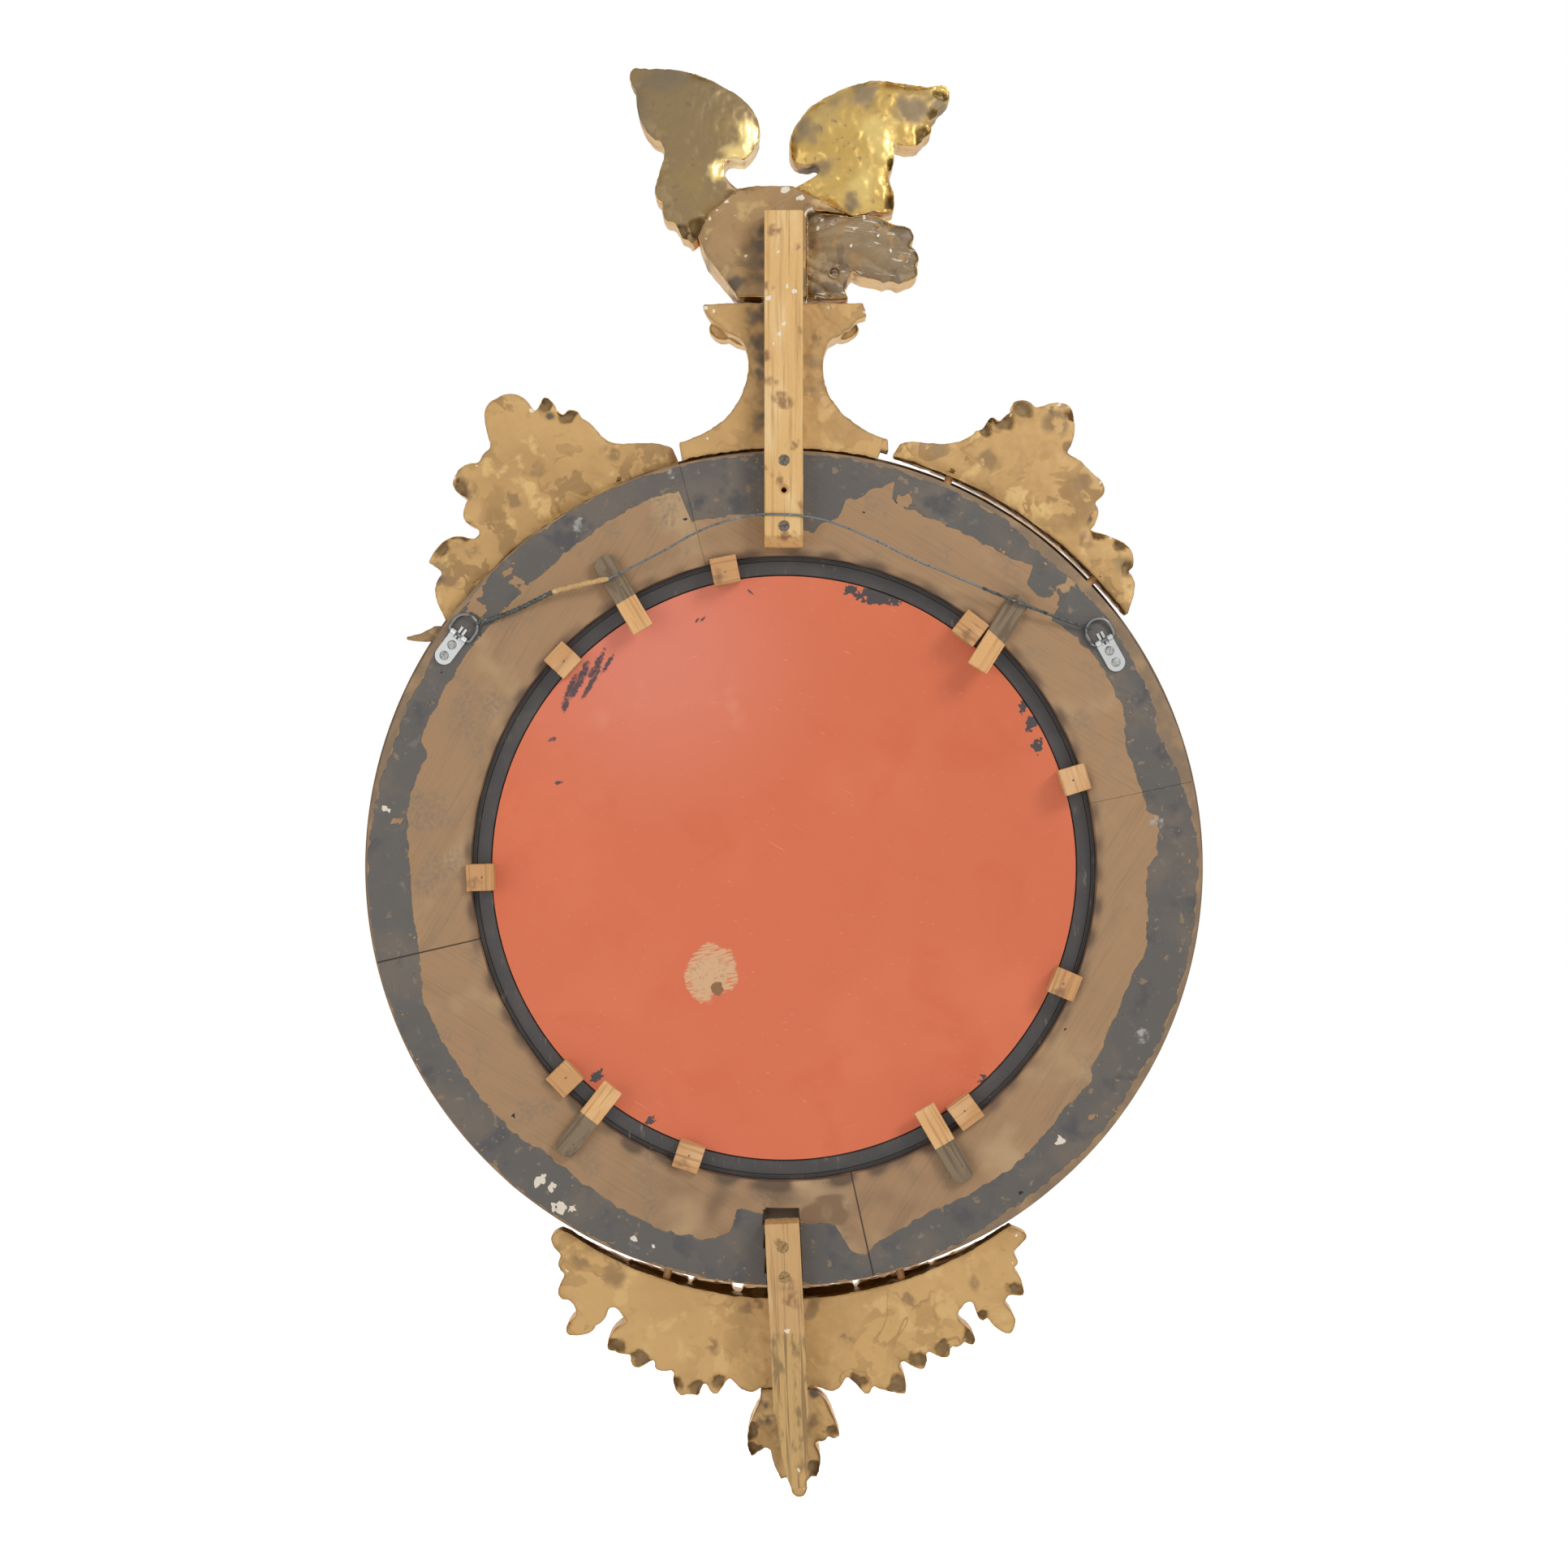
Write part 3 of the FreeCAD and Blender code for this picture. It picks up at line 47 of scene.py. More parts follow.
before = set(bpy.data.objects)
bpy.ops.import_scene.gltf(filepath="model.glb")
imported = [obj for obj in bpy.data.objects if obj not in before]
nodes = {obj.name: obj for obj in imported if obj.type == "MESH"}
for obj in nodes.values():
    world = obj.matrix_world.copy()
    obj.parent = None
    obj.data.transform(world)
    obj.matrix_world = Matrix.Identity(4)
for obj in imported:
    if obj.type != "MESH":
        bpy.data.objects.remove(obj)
bpy.context.scene.view_settings.view_transform = "Standard"
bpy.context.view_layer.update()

MM = 0.001
RING_HEIGHT = -313.3  # height of the ring's centre
OPENING = 279.0  # radius of the ring's opening
RING_EDGE = 372.5  # radius of the ring's outer edge
RING_BACK = 24.0  # depth of the ring's back face
RING_FRONT = 54.0  # depth of the ring's front face
CREST = 375.0 + RING_HEIGHT  # height of the crest's datum, just over the ring
FOOT = -380.0 + RING_HEIGHT  # height of the apron's datum, just under the ring
LENS = 56.74  # focal length, for a picture 36 mm wide
CAMERA_DISTANCE = 2.176  # metres behind the wall plane
CAMERA_HEIGHT = -0.2382  # metres


def linked(name, data):
    """A new object that holds this data, put in the scene."""
    made = bpy.data.objects.new(name, data)
    bpy.context.scene.collection.objects.link(made)
    return made


# ---------------------------------------------------------------- camera

def camera():
    """Level with the mirror's middle, straight behind it."""
    data = bpy.data.cameras.new("camera")
    data.sensor_fit = "HORIZONTAL"
    data.sensor_width = 36
    data.lens = LENS
    made = linked("camera", data)
    made.location = (0, CAMERA_DISTANCE, CAMERA_HEIGHT)
    made.rotation_euler = (math.radians(90), 0, math.radians(180))
    bpy.context.scene.camera = made


camera()


# ---------------------------------------------------------------- materials

def linear(hex_colour):
    """An sRGB hex colour as linear red, green, blue and alpha."""
    parts = [int(hex_colour[i:i + 2], 16) / 255 for i in (1, 3, 5)]
    return [c / 12.92 if c <= 0.04045 else ((c + 0.055) / 1.055) ** 2.4 for c in parts] + [1.0]


def add(tree, kind, inputs=None, **settings):
    """Adds a node with its settings and links. An input is another node's socket or a plain value."""
    made = tree.nodes.new(kind)
    for name, setting in settings.items():
        setattr(made, name, setting)
    for name, value in (inputs or {}).items():
        socket = made.inputs[name]
        if isinstance(value, bpy.types.NodeSocket):
            tree.links.new(value, socket)
        else:
            socket.default_value = value
    return made


ANY_DEPTH = 1e6  # a stretch so long that a spot reaches through the whole object


class Finish:
    """A material in the making: a ground colour, what lies over it, its roughness and its relief."""

    def __init__(self, name, ground, roughness, metallic=0.0):
        self.material = bpy.data.materials.new(name)
        self.material.use_nodes = True
        self.tree = self.material.node_tree
        self.tree.nodes.clear()
        self.shader = add(self.tree, "ShaderNodeBsdfPrincipled")
        add(self.tree, "ShaderNodeOutputMaterial", {"Surface": self.shader.outputs[0]})
        self.place = add(self.tree, "ShaderNodeTexCoord").outputs["Object"]
        self.values = {"Base Color": linear(ground), "Roughness": roughness, "Metallic": metallic}
        self.normal = None

    def noise(self, size, stretch=(1, 1, 1), turn=(0, 0, 0), detail=3.0, on=None, warp=0.0):
        """Noise from 0 to 1 whose spots are about this many millimetres across, drawn out by stretch."""
        angles = [math.radians(t) for t in turn]
        lay = {"Vector": on or self.place, "Scale": list(stretch), "Rotation": angles}
        moved = add(self.tree, "ShaderNodeMapping", lay, vector_type="TEXTURE").outputs[0]
        pattern = {"Vector": moved, "Scale": 1 / (size * MM), "Detail": detail, "Distortion": warp}
        return add(self.tree, "ShaderNodeTexNoise", pattern).outputs["Fac"]

    def carried(self, name, output="Fac"):
        """A value that the mesh's vertices carry."""
        return add(self.tree, "ShaderNodeAttribute", attribute_name=name).outputs[output]

    def mask(self, value, low, high):
        """Rises smoothly from 0 at low to 1 at high. The value is a socket, or the name of a carried value."""
        if isinstance(value, str):
            value = self.carried(value)
        inputs = {"Value": value, "From Min": low, "From Max": high}
        return add(self.tree, "ShaderNodeMapRange", inputs, interpolation_type="SMOOTHSTEP").outputs[0]

    def joined(self, operation, values):
        """Several values taken together, one after another."""
        first, *others = values
        for value in others:
            first = add(self.tree, "ShaderNodeMath", {0: first, 1: value}, operation=operation).outputs[0]
        return first

    def all_of(self, *masks):
        return self.joined("MULTIPLY", masks)

    def any_of(self, *masks):
        return self.joined("MAXIMUM", masks)

    def near(self, x, z, radius, soft=0.35, ragged=0.0, long=1.0, turn=0.0):
        """A spot round this place of the object, seen along the depth, with a soft and ragged edge."""
        lay = {"Vector": self.place, "Location": [x * MM, 0, z * MM], "Rotation": [0, math.radians(turn), 0],
               "Scale": [long, ANY_DEPTH, 1]}
        moved = add(self.tree, "ShaderNodeMapping", lay, vector_type="TEXTURE").outputs[0]
        away = add(self.tree, "ShaderNodeVectorMath", {0: moved}, operation="LENGTH").outputs["Value"]
        if ragged:
            wobble = {0: self.noise(radius * 0.8), 1: 2 * ragged * radius * MM, 2: away}
            away = add(self.tree, "ShaderNodeMath", wobble, operation="MULTIPLY_ADD").outputs[0]
        return self.mask(away, radius * (1 + ragged) * MM, radius * (1 - soft + ragged) * MM)

    def chips(self):
        """Small ragged losses that show the white ground."""
        ragged = self.joined("ADD", (self.mask("chip", 0.0, 1.0), self.noise(2.6, detail=6.0)))
        return self.mask(ragged, 0.98, 1.06)

    def change(self, socket, mask, value):
        """Changes a value of the shader towards another where the mask is 1."""
        old = self.values[socket]
        colour = socket == "Base Color"
        made = add(self.tree, "ShaderNodeMix", data_type="RGBA" if colour else "FLOAT")
        sockets = [s for s in made.inputs if s.enabled]
        for target, source in zip(sockets, (mask, old, value)):
            if isinstance(source, bpy.types.NodeSocket):
                self.tree.links.new(source, target)
            else:
                target.default_value = source
        self.values[socket] = next(s for s in made.outputs if s.enabled)

    def over(self, mask, colour, roughness=None, metallic=None):
        """Lays a colour over what is there, with its own roughness and metal."""
        self.change("Base Color", mask, linear(colour))
        if roughness is not None:
            self.change("Roughness", mask, roughness)
        if metallic is not None:
            self.change("Metallic", mask, metallic)

    def relief(self, height, depth):
        """Raises the surface by up to this many millimetres where height is 1."""
        inputs = {"Height": height, "Distance": depth * MM, "Strength": 1.0}
        if self.normal:
            inputs["Normal"] = self.normal
        self.normal = add(self.tree, "ShaderNodeBump", inputs).outputs[0]

    def facets(self, size, soft, depth):
        """Shallow facets about this many millimetres wide, as the strokes of a tool leave them."""
        cells = {"Vector": self.place, "Scale": 1 / (size * MM), "Smoothness": soft}
        height = add(self.tree, "ShaderNodeTexVoronoi", cells, feature="SMOOTH_F1").outputs["Distance"]
        self.relief(height, depth)

    def done(self):
        """Joins the values to the shader."""
        for name, value in self.values.items():
            if isinstance(value, bpy.types.NodeSocket):
                self.tree.links.new(value, self.shader.inputs[name])
            else:
                self.shader.inputs[name].default_value = value
        if self.normal:
            self.tree.links.new(self.normal, self.shader.inputs["Normal"])
        return self.material


def ring_wood():
    """Sawn limewood felloes, dry and greyed, brushed with thin black distemper that has flaked at its edges."""
    f = Finish("limewood_with_black_wash", "#9C7A57", 0.72)
    grain = f.carried("grain", "Vector")
    fibres = f.noise(2.2, (30, 1, 1), on=grain, detail=4.0)
    bands = f.noise(16, (9, 1, 1), on=grain, detail=2.0, warp=0.6)
    f.over(f.mask(fibres, 0.4, 0.95), "#8D6F4D")
    f.over(f.all_of(f.mask(bands, 0.5, 0.95), f.mask(fibres, 0.25, 0.9)), "#7A6146")
    f.over(f.mask(f.noise(70, detail=3.0), 0.52, 0.72), "#AC8E68")
    f.over(f.all_of(f.mask(f.noise(38, detail=5.0), 0.5, 0.7), f.mask(f.noise(4), 0.3, 0.7)), "#856F57")
    # Painted shade: darker next to the opening, where the slip's recess lies in shade, and darker towards the
    # bottom.
    f.over(f.mask("shade_and_darkening", 0.0, 1.2), "#5F4B39", 0.8)
    f.over(f.mask("rust", 0.2, 0.8), "#7E6248", 0.85)
    rim = f.mask("rim", 0.25, 0.75)
    f.over(rim, "#77624B", 0.65)
    f.over(f.all_of(rim, f.mask(f.noise(24, detail=5.0), 0.4, 0.75)), "#9A7B57")
    # The wash: its edge wanders with the brush by up to 4.5 mm either way, and it is pitted near that edge
    wander = {0: f.noise(11, detail=6.0), 1: 9.0, 2: -4.5}
    wander = add(f.tree, "ShaderNodeMath", wander, operation="MULTIPLY_ADD").outputs[0]
    edge = f.joined("ADD", (f.carried("coat"), wander))
    unpitted = f.mask(f.noise(5.5, detail=6.0), 0.7, 0.66)
    wash = f.all_of(f.mask(edge, -0.5, 0.5), f.any_of(unpitted, f.mask(edge, 6.0, 12.0)))
    f.over(wash, "#524D48", 0.5)
    f.over(f.all_of(wash, f.mask(f.noise(55, detail=5.0), 0.46, 0.66)), "#62584D", 0.55)
    f.over(f.all_of(wash, f.mask(f.noise(30, detail=6.0), 0.55, 0.7)), "#434040", 0.42)
    f.over(f.all_of(wash, f.mask(f.noise(2.6, (4, 1, 4), detail=5.0), 0.6, 0.8)), "#6C645B")
    f.over(f.all_of(wash, f.mask(f.noise(9, detail=6.0), 0.64, 0.7)), "#7A6852", 0.6)
    f.over(f.chips(), "#D5C9B6", 0.8)
    f.over(f.all_of(f.mask("pale", 0.1, 0.9), f.mask(f.noise(5, detail=5.0), 0.35, 0.65)), "#9C978F", 0.6)
    f.over(f.mask("joint", 0.3, 0.8), "#3E3228", 0.9)
    # Painted shade on the floor of the lower batten's housing.
    f.over(f.mask("housing", 0.3, 0.7), "#594A3B", 0.85)
    f.over(f.mask("pinhole", 0.4, 0.6), "#2B221B", 0.9)
    f.relief(fibres, 0.25)
    f.relief(f.all_of(wash, f.noise(7, detail=5.0)), 0.35)
    f.relief(wash, 0.25)
    return f.done()


def pine(name, ground, pale, dark, old=None, worn=None):
    """Planed pine: straight pale wood with darker, harder lines of summer growth."""
    f = Finish(name, ground, 0.62)
    grain = f.carried("grain", "Vector")
    rings = f.noise(3.6, (30, 1, 1), on=grain, detail=2.0)
    fibres = f.noise(1.2, (30, 1, 1), on=grain, detail=3.0)
    f.over(f.mask(f.noise(26, (3, 1, 1), on=grain, detail=3.0), 0.45, 0.7), pale)
    f.over(f.all_of(f.mask(rings, 0.5, 0.62), f.mask(fibres, 0.2, 0.8)), dark)
    f.over(f.all_of(f.mask(fibres, 0.55, 0.8), f.mask(f.noise(12), 0.4, 0.7)), dark)
    blotches = f.mask(f.noise(7, (2, 1, 1), on=grain, detail=5.0), 0.3, 0.55)
    f.over(f.all_of(f.mask("stain", 0.1, 0.85), blotches), "#8A6440", 0.7)
    if old:
        f.over(f.mask("weathered", 0.35, 0.65), old, 0.8)
        mottle = f.mask(f.noise(9, (2.5, 1, 1), on=grain, detail=5.0), 0.5, 0.66)
        f.over(f.all_of(f.mask("weathered", 0.3, 0.8), f.any_of(f.mask(rings, 0.5, 0.62), mottle)), worn)
    f.over(f.chips(), "#DDD2BC", 0.85)
    # Painted shade where a batten lies against the carving.
    f.over(f.mask("hollow", 0.3, 1.0), "#5A4430", 0.85)
    f.over(f.mask("pinhole", 0.4, 0.6), "#2E241B", 0.9)
    f.relief(fibres, 0.2)
    f.relief(f.mask(rings, 0.45, 0.65), 0.12)
    return f.done()


def carved_wood(name, size, shade, worn, pale, dusty, cracked=False):
    """Carved limewood: yellow ochre size brushed on the back, and leaf gold on everything that shows in front."""
    f = Finish(name, "#C79A4E", 0.34, 0.95)
    f.over(f.mask(f.noise(18, detail=4.0), 0.5, 0.75), "#B0813A", 0.42)
    f.over(f.all_of(f.mask(f.noise(7, detail=6.0), 0.62, 0.68), f.mask("ridge", 0.0, 1.0)), "#8A3F28", 0.6, 0.0)
    f.over(f.mask("hollow", 0.2, 1.1), "#6E4F24", 0.55, 0.6)
    f.over(f.mask(f.noise(30, detail=5.0), 0.6, 0.8), "#8B7148", 0.5, 0.7)
    sized = f.mask("back", 0.2, 0.6)
    f.over(sized, size, 0.55, 0.0)
    f.over(f.all_of(sized, f.mask(f.noise(75, detail=4.0, warp=0.4), 0.42, 0.72)), shade, 0.5)
    rubbed = f.mask(f.noise(30, detail=8.0, warp=0.6), 0.53, 0.55)
    f.over(f.all_of(sized, rubbed, f.mask(f.noise(60), 0.35, 0.6)), worn)
    f.over(f.all_of(sized, f.mask(f.noise(24, detail=7.0), 0.56, 0.66)), pale)
    f.over(f.all_of(sized, f.mask(f.noise(11, detail=6.0), 0.58, 0.75)), shade, 0.6)
    tide = f.noise(60, detail=3.0, warp=0.5)
    line = f.all_of(f.mask(tide, 0.535, 0.55), f.mask(tide, 0.575, 0.555), f.mask(f.noise(22), 0.35, 0.65))
    f.over(f.all_of(sized, line), "#A27C47")
    streak = f.noise(2.4, (18, 1, 1), turn=(0, 28, 0), detail=4.0)
    f.over(f.all_of(sized, f.mask(streak, 0.6, 0.9)), "#CBA468")
    f.over(f.all_of(f.mask("stain", 0.1, 0.7), f.mask(f.noise(16, detail=6.0), 0.4, 0.47)), "#8F6F44", 0.5, 0.0)
    f.over(f.mask("low", 0.0, 1.0), dusty, 0.6, 0.0)
    f.over(f.all_of(f.mask("low", 0.2, 1.0), f.mask(f.noise(5, detail=5.0), 0.5, 0.75)), "#7C6444", 0.65)
    f.over(f.mask("dust", 0.0, 1.0), dusty, 0.6, 0.0)
    # Painted shade: the battens' shadows, a darkened outline round each back, and a few small dark spots.
    f.over(f.mask("dark", 0.0, 0.9), "#5E4E3B", 0.65, 0.0)
    f.over(f.chips(), "#DDD2BE", 0.85, 0.0)
    if cracked:
        cracks = f.mask(f.noise(3.0, (14, 1, 1), turn=(0, -8, 0), detail=5.0), 0.61, 0.66)
        f.over(f.all_of(sized, cracks, f.mask(f.noise(16, detail=3.0), 0.44, 0.56)), "#D9CFBD", 0.85, 0.0)
    f.relief(f.noise(2.0, detail=4.0), 0.18)
    f.facets(9.0, 0.6, 0.25)
    f.relief(f.noise(22, detail=2.0), 0.5)
    return f.done()


def leaf_gold(name, ground, worn, lit, dusty, roughness, metallic, hammered):
    """Leaf gold on a carved wing: burnished in front, and toned with bronze size on the back. The hammering is
    the height in millimetres of the tool's facets that show through the leaf."""
    f = Finish(name, "#C99C50", 0.32, 0.95)
    f.over(f.mask(f.noise(18, detail=4.0), 0.5, 0.75), "#B5863C", 0.42)
    f.over(f.mask("hollow", 0.3, 1.1), "#6E4F24", 0.55, 0.6)
    toned = f.mask("back", 0.2, 0.6)
    f.over(toned, ground, roughness, metallic)
    f.over(f.all_of(toned, f.mask(f.noise(45, detail=4.0), 0.4, 0.75)), worn)
    f.over(f.all_of(toned, f.mask(f.noise(6, detail=6.0), 0.6, 0.75)), dusty, roughness + 0.1)
    # Painted highlight: the lit colour laid where the gold catches the light.
    f.over(f.mask("bright", 0.05, 0.85), lit, roughness - 0.1, 0.95)
    f.over(f.mask("dust", 0.0, 0.8), dusty, 0.6, 0.1)
    f.over(f.all_of(f.mask(f.noise(5, detail=5.0), 0.6, 0.72), f.mask("dust", 0.0, 1.0)), "#75664F", 0.6, 0.1)
    f.over(f.mask("low", 0.0, 1.0), "#8A744C", 0.5, 0.4)
    # Painted shade round each wing's outline, and a small dark spot.
    f.over(f.mask("dark", 0.1, 1.0), "#5E4D37", 0.65, 0.2)
    f.over(f.chips(), "#DDD2BE", 0.85, 0.0)
    f.facets(7.5, 0.5, hammered)
    f.relief(f.noise(3.0, detail=5.0), 0.12)
    f.relief(f.noise(24, detail=2.0), 1.4 * hammered)
    return f.done()


def turned_gilding():
    """Burnished water gilding over red clay on a turned moulding: rubbed through to the clay in small spots, with
    bare brown wood, darkened as painted shade, where a piece faces the wall."""
    f = Finish("water_gilding_over_red_clay", "#C99B45", 0.24, 1.0)
    f.over(f.mask(f.noise(40, detail=3.0), 0.45, 0.65), "#B98936", 0.3)
    f.over(f.mask(f.noise(6, detail=6.0), 0.64, 0.7), "#8E4029", 0.55, 0.1)
    f.over(f.mask(f.noise(90, detail=5.0), 0.56, 0.72), "#8D6C36", 0.45, 0.8)
    # Painted shade: the dark brown of the bare wood facing the wall stands for the shade in the gap behind the
    # ring.
    f.over(f.mask("bare", 0.3, 0.7), "#5E4733", 0.8, 0.0)
    f.over(f.all_of(f.mask("bare", 0.3, 0.7), f.mask(f.noise(8, detail=5.0), 0.5, 0.7)), "#7E6142")
    f.relief(f.noise(1.8, detail=4.0), 0.08)
    f.relief(f.noise(28, detail=2.0), 0.5)
    return f.done()


def ebony_stain():
    """Pearwood stained black and polished, with grey scuffs and a few small knocks."""
    f = Finish("ebonised_pearwood", "#3A3634", 0.34)
    f.over(f.mask(f.noise(30, detail=5.0), 0.45, 0.7), "#46403D", 0.42)
    scuffs = f.all_of(f.mask(f.noise(3.5, (1, 1, 5), detail=5.0), 0.6, 0.75), f.mask(f.noise(40), 0.45, 0.6))
    f.over(scuffs, "#7B7167", 0.6)
    f.over(f.mask(f.noise(2.2, detail=3.0), 0.72, 0.76), "#8F7E69", 0.7)
    f.relief(f.noise(2.0, (6, 1, 1), detail=4.0), 0.06)
    return f.done()


# Dark smears on the red back: x, height, half width, how drawn out, how turned
SMEARS = (
    (192, -153, 3.6, 5.0, 66), (184, -146, 4.2, 6.0, 63), (174, -149, 3.0, 6.0, 60), (166, -128, 3.2, 4.2, 62),
    (158, -130, 2.4, 5.0, 58), (170, -138, 5.0, 1.6, 50), (196, -168, 3.2, 2.4, 70), (208, -198, 2.2, 2.2, 15),
    (203, -237, 2.0, 2.2, 10), (73, -90, 1.6, 2.6, 50), (78, -91, 1.4, 2.4, 50), (30, -66, 1.4, 3.4, 140),
)
# The middle of the patch where the red is worn through: x and height
WORN_PATCH = (68.5, -410.6)
# Places at the red back's edge where the paint has flaked off
FLAKES = (
    (-85, -69, 9, 1.7, 10), (-99, -73, 5, 1.3, 30), (-60, -64, 4, 1.8, 5), (-222, -184, 5, 1.6, 60),
    (-227, -204, 5, 1.4, 80), (-215, -168, 4, 1.5, 55), (-181, -507, 5, 1.8, 130), (-54, -575, 4, 1.9, 170),
    (168, -500, 4, 1.7, 45), (-20, -580, 3, 2.0, 178), (120, -540, 3, 1.8, 30),
)


def red_paint():
    """Orange red oil paint brushed on the hollow back: matt and even, a little bleached and mottled,
    with dark fingermarks, scrapes at the edge and one worn patch."""
    f = Finish("orange_red_oil_paint", "#CB6640", 0.6)
    f.over(f.mask(f.noise(150, detail=3.0), 0.45, 0.75), "#D26E48", 0.62)
    f.over(f.mask(f.noise(60, detail=4.0, warp=0.5), 0.5, 0.8), "#C76039")
    f.over(f.near(120, -110, 200, 1.0), "#D37860")
    f.over(f.all_of(f.mask(f.noise(30, detail=5.0), 0.55, 0.85), f.near(110, -110, 190, 0.9)), "#D68269")
    f.over(f.mask(f.noise(0.7, (1, 1, 70), turn=(0, 62, 0), detail=1.0), 0.76, 0.82), "#E39A7F")
    f.over(f.mask(f.noise(0.6, (70, 1, 1), turn=(0, 17, 0), detail=1.0), 0.775, 0.83), "#E8A68B")
    worn = f.near(*WORN_PATCH, 26, 0.12, 0.55)
    streaks = f.mask(f.noise(1.4, (12, 1, 1), turn=(0, 12, 0), detail=3.0), 0.35, 0.5)
    core = f.near(*WORN_PATCH, 20, 0.3, 0.3)
    f.over(f.any_of(core, f.all_of(worn, streaks)), "#CBA27A", 0.8)
    f.over(f.all_of(core, f.mask(f.noise(3.0, detail=4.0), 0.5, 0.7)), "#B98F66")
    f.over(f.near(60.5, -424, 7, 0.15, 0.5, 0.8), "#86603F", 0.8)
    brushed = f.mask(f.noise(1.6, (9, 1, 1), turn=(0, 62, 0), detail=4.0), 0.28, 0.44)
    smears = f.any_of(*(f.near(x, z, half, 0.5, 0.8, long, turn) for x, z, half, long, turn in SMEARS))
    f.over(f.all_of(smears, brushed), "#4A373A", 0.5)
    flakes = f.any_of(*(f.near(x, z, half, 0.1, 1.3, long, turn) for x, z, half, long, turn in FLAKES))
    f.over(flakes, "#3B3233", 0.5)
    f.relief(f.noise(1.5, (1, 1, 9), turn=(0, 20, 0), detail=4.0), 0.05)
    f.relief(f.noise(16, detail=3.0), 0.12)
    return f.done()


def silvered_glass():
    """A convex plate silvered with tin and mercury: bright, faintly grey, freckled in places."""
    f = Finish("tin_mercury_silvering", "#D9DCDA", 0.03, 1.0)
    f.over(f.all_of(f.mask(f.noise(5, detail=6.0), 0.66, 0.72), f.mask(f.noise(90), 0.5, 0.65)), "#7F8280", 0.25)
    f.relief(f.noise(140, detail=1.0), 0.12)
    return f.done()


def dull_metal(name, ground, dark, light, roughness, metallic=1.0, size=4.0):
    """Old ironmongery: plated or drawn metal with a dull skin, dark where dirt sits and bright where rubbed."""
    f = Finish(name, ground, roughness, metallic)
    f.over(f.mask(f.noise(size, detail=5.0), 0.48, 0.7), dark, min(roughness + 0.2, 1.0))
    f.over(f.mask(f.noise(size * 2.5, detail=4.0), 0.58, 0.72), light, max(roughness - 0.08, 0.1))
    f.relief(f.noise(size * 0.35, detail=4.0), 0.05)
    return f.done()


def masking_tape():
    """Crinkled paper tape gone tan, with its edges torn and grubby."""
    f = Finish("aged_masking_tape", "#BE9966", 0.75)
    crinkle = f.noise(1.6, detail=4.0)
    f.over(f.mask(crinkle, 0.5, 0.75), "#9C7748")
    f.over(f.mask(f.noise(9, detail=4.0), 0.5, 0.7), "#CFAE7E")
    f.relief(crinkle, 0.4)
    return f.done()


RING_WOOD = ring_wood()
BATTEN = pine("planed_pine_batten", "#CFA568", "#DDBC86", "#AE864F")
GREY_BATTEN = pine("pine_batten_gone_grey", "#BF9662", "#CDAA76", "#8F6E44", old="#BD9861", worn="#8C7049")
CLIP = pine("split_pine_clip", "#CF9E66", "#DDB27C", "#A8763F", old="#7C6A52", worn="#65533F")
BLOCK = pine("sawn_pine_block", "#BE8C58", "#D1A473", "#966A3E")
CARVED = carved_wood("ochre_size_and_leaf_gold", "#C0985E", "#B28B54", "#AE8851", "#C8A267", "#92774F")
LEAF_BACKS = carved_wood("ochre_size_worn_on_leaves", "#C0985E", "#AE8750", "#987444", "#CEA96B", "#92774F")
DULL_CARVED = carved_wood("ochre_size_dulled", "#A38255", "#8E6F47", "#7E6140", "#B59461", "#7A674A")
WING_SATIN = leaf_gold("leaf_gold_satin", "#836D49", "#8F7648", "#E3C884", "#74634A", 0.42, 0.4, 0.08)
WING_BRIGHT = leaf_gold("leaf_gold_crinkled", "#B89856", "#C4A662", "#D6BA74", "#867151", 0.38, 0.8, 0.4)
TAIL_GREY = carved_wood(
    "weathered_size_on_tail", "#937B59", "#7C6749", "#6C5A42", "#A58D66", "#6B5E4B", cracked=True)
GILDING = turned_gilding()
EBONY = ebony_stain()
RED = red_paint()
SILVER = silvered_glass()
STRAP = dull_metal("bright_zinc_plate", "#BFC1C0", "#A9ABA8", "#D2D4D3", 0.3, 1.0, 14.0)
STRAP_SCREW = dull_metal("zinc_plated_screw", "#A2A3A0", "#7B7C79", "#BDBEBB", 0.34, 1.0, 3.0)
RING_STEEL = dull_metal("grey_zinc_plate", "#757675", "#505151", "#979897", 0.4, 1.0, 6.0)
OLD_STEEL = dull_metal("browned_steel_screw", "#6E655B", "#4A3C30", "#A39A8C", 0.5, 0.85, 1.5)
BRASS = dull_metal("dull_brass_screw", "#937A52", "#5F4A30", "#BBA070", 0.45, 0.9, 1.5)
WIRE_GREY = dull_metal("galvanised_picture_wire", "#6C7174", "#4F5356", "#8F9496", 0.5, 0.7, 3.0)
WIRE_DARK = dull_metal("weathered_picture_wire", "#4E5250", "#33352F", "#737873", 0.55, 0.6, 3.0)
TAPE = masking_tape()


# ---------------------------------------------------------------- making pieces

def put(name, mesh, material, body="mirror", hides=()):
    """Puts a finished mesh on its body, with its material, in place of the CAD nodes that it stands for."""
    piece = linked(name, mesh)
    mesh.materials.clear()
    mesh.materials.append(material)
    if body:
        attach(piece, body)
    if hides:
        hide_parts(*hides)
    return piece


def lofted(rings, corners, closed=False):
    """Faces of a skin over rings of so many corners each. Its ends are flat faces, unless it closes on itself."""
    faces = []
    for i in range(rings if closed else rings - 1):
        here, there = i * corners, (i + 1) % rings * corners
        for j in range(corners):
            k = (j + 1) % corners
            faces.append((here + j, here + k, there + k, there + j))
    if not closed:
        faces += [tuple(range(corners)), tuple((rings - 1) * corners + j for j in range(corners))]
    return faces


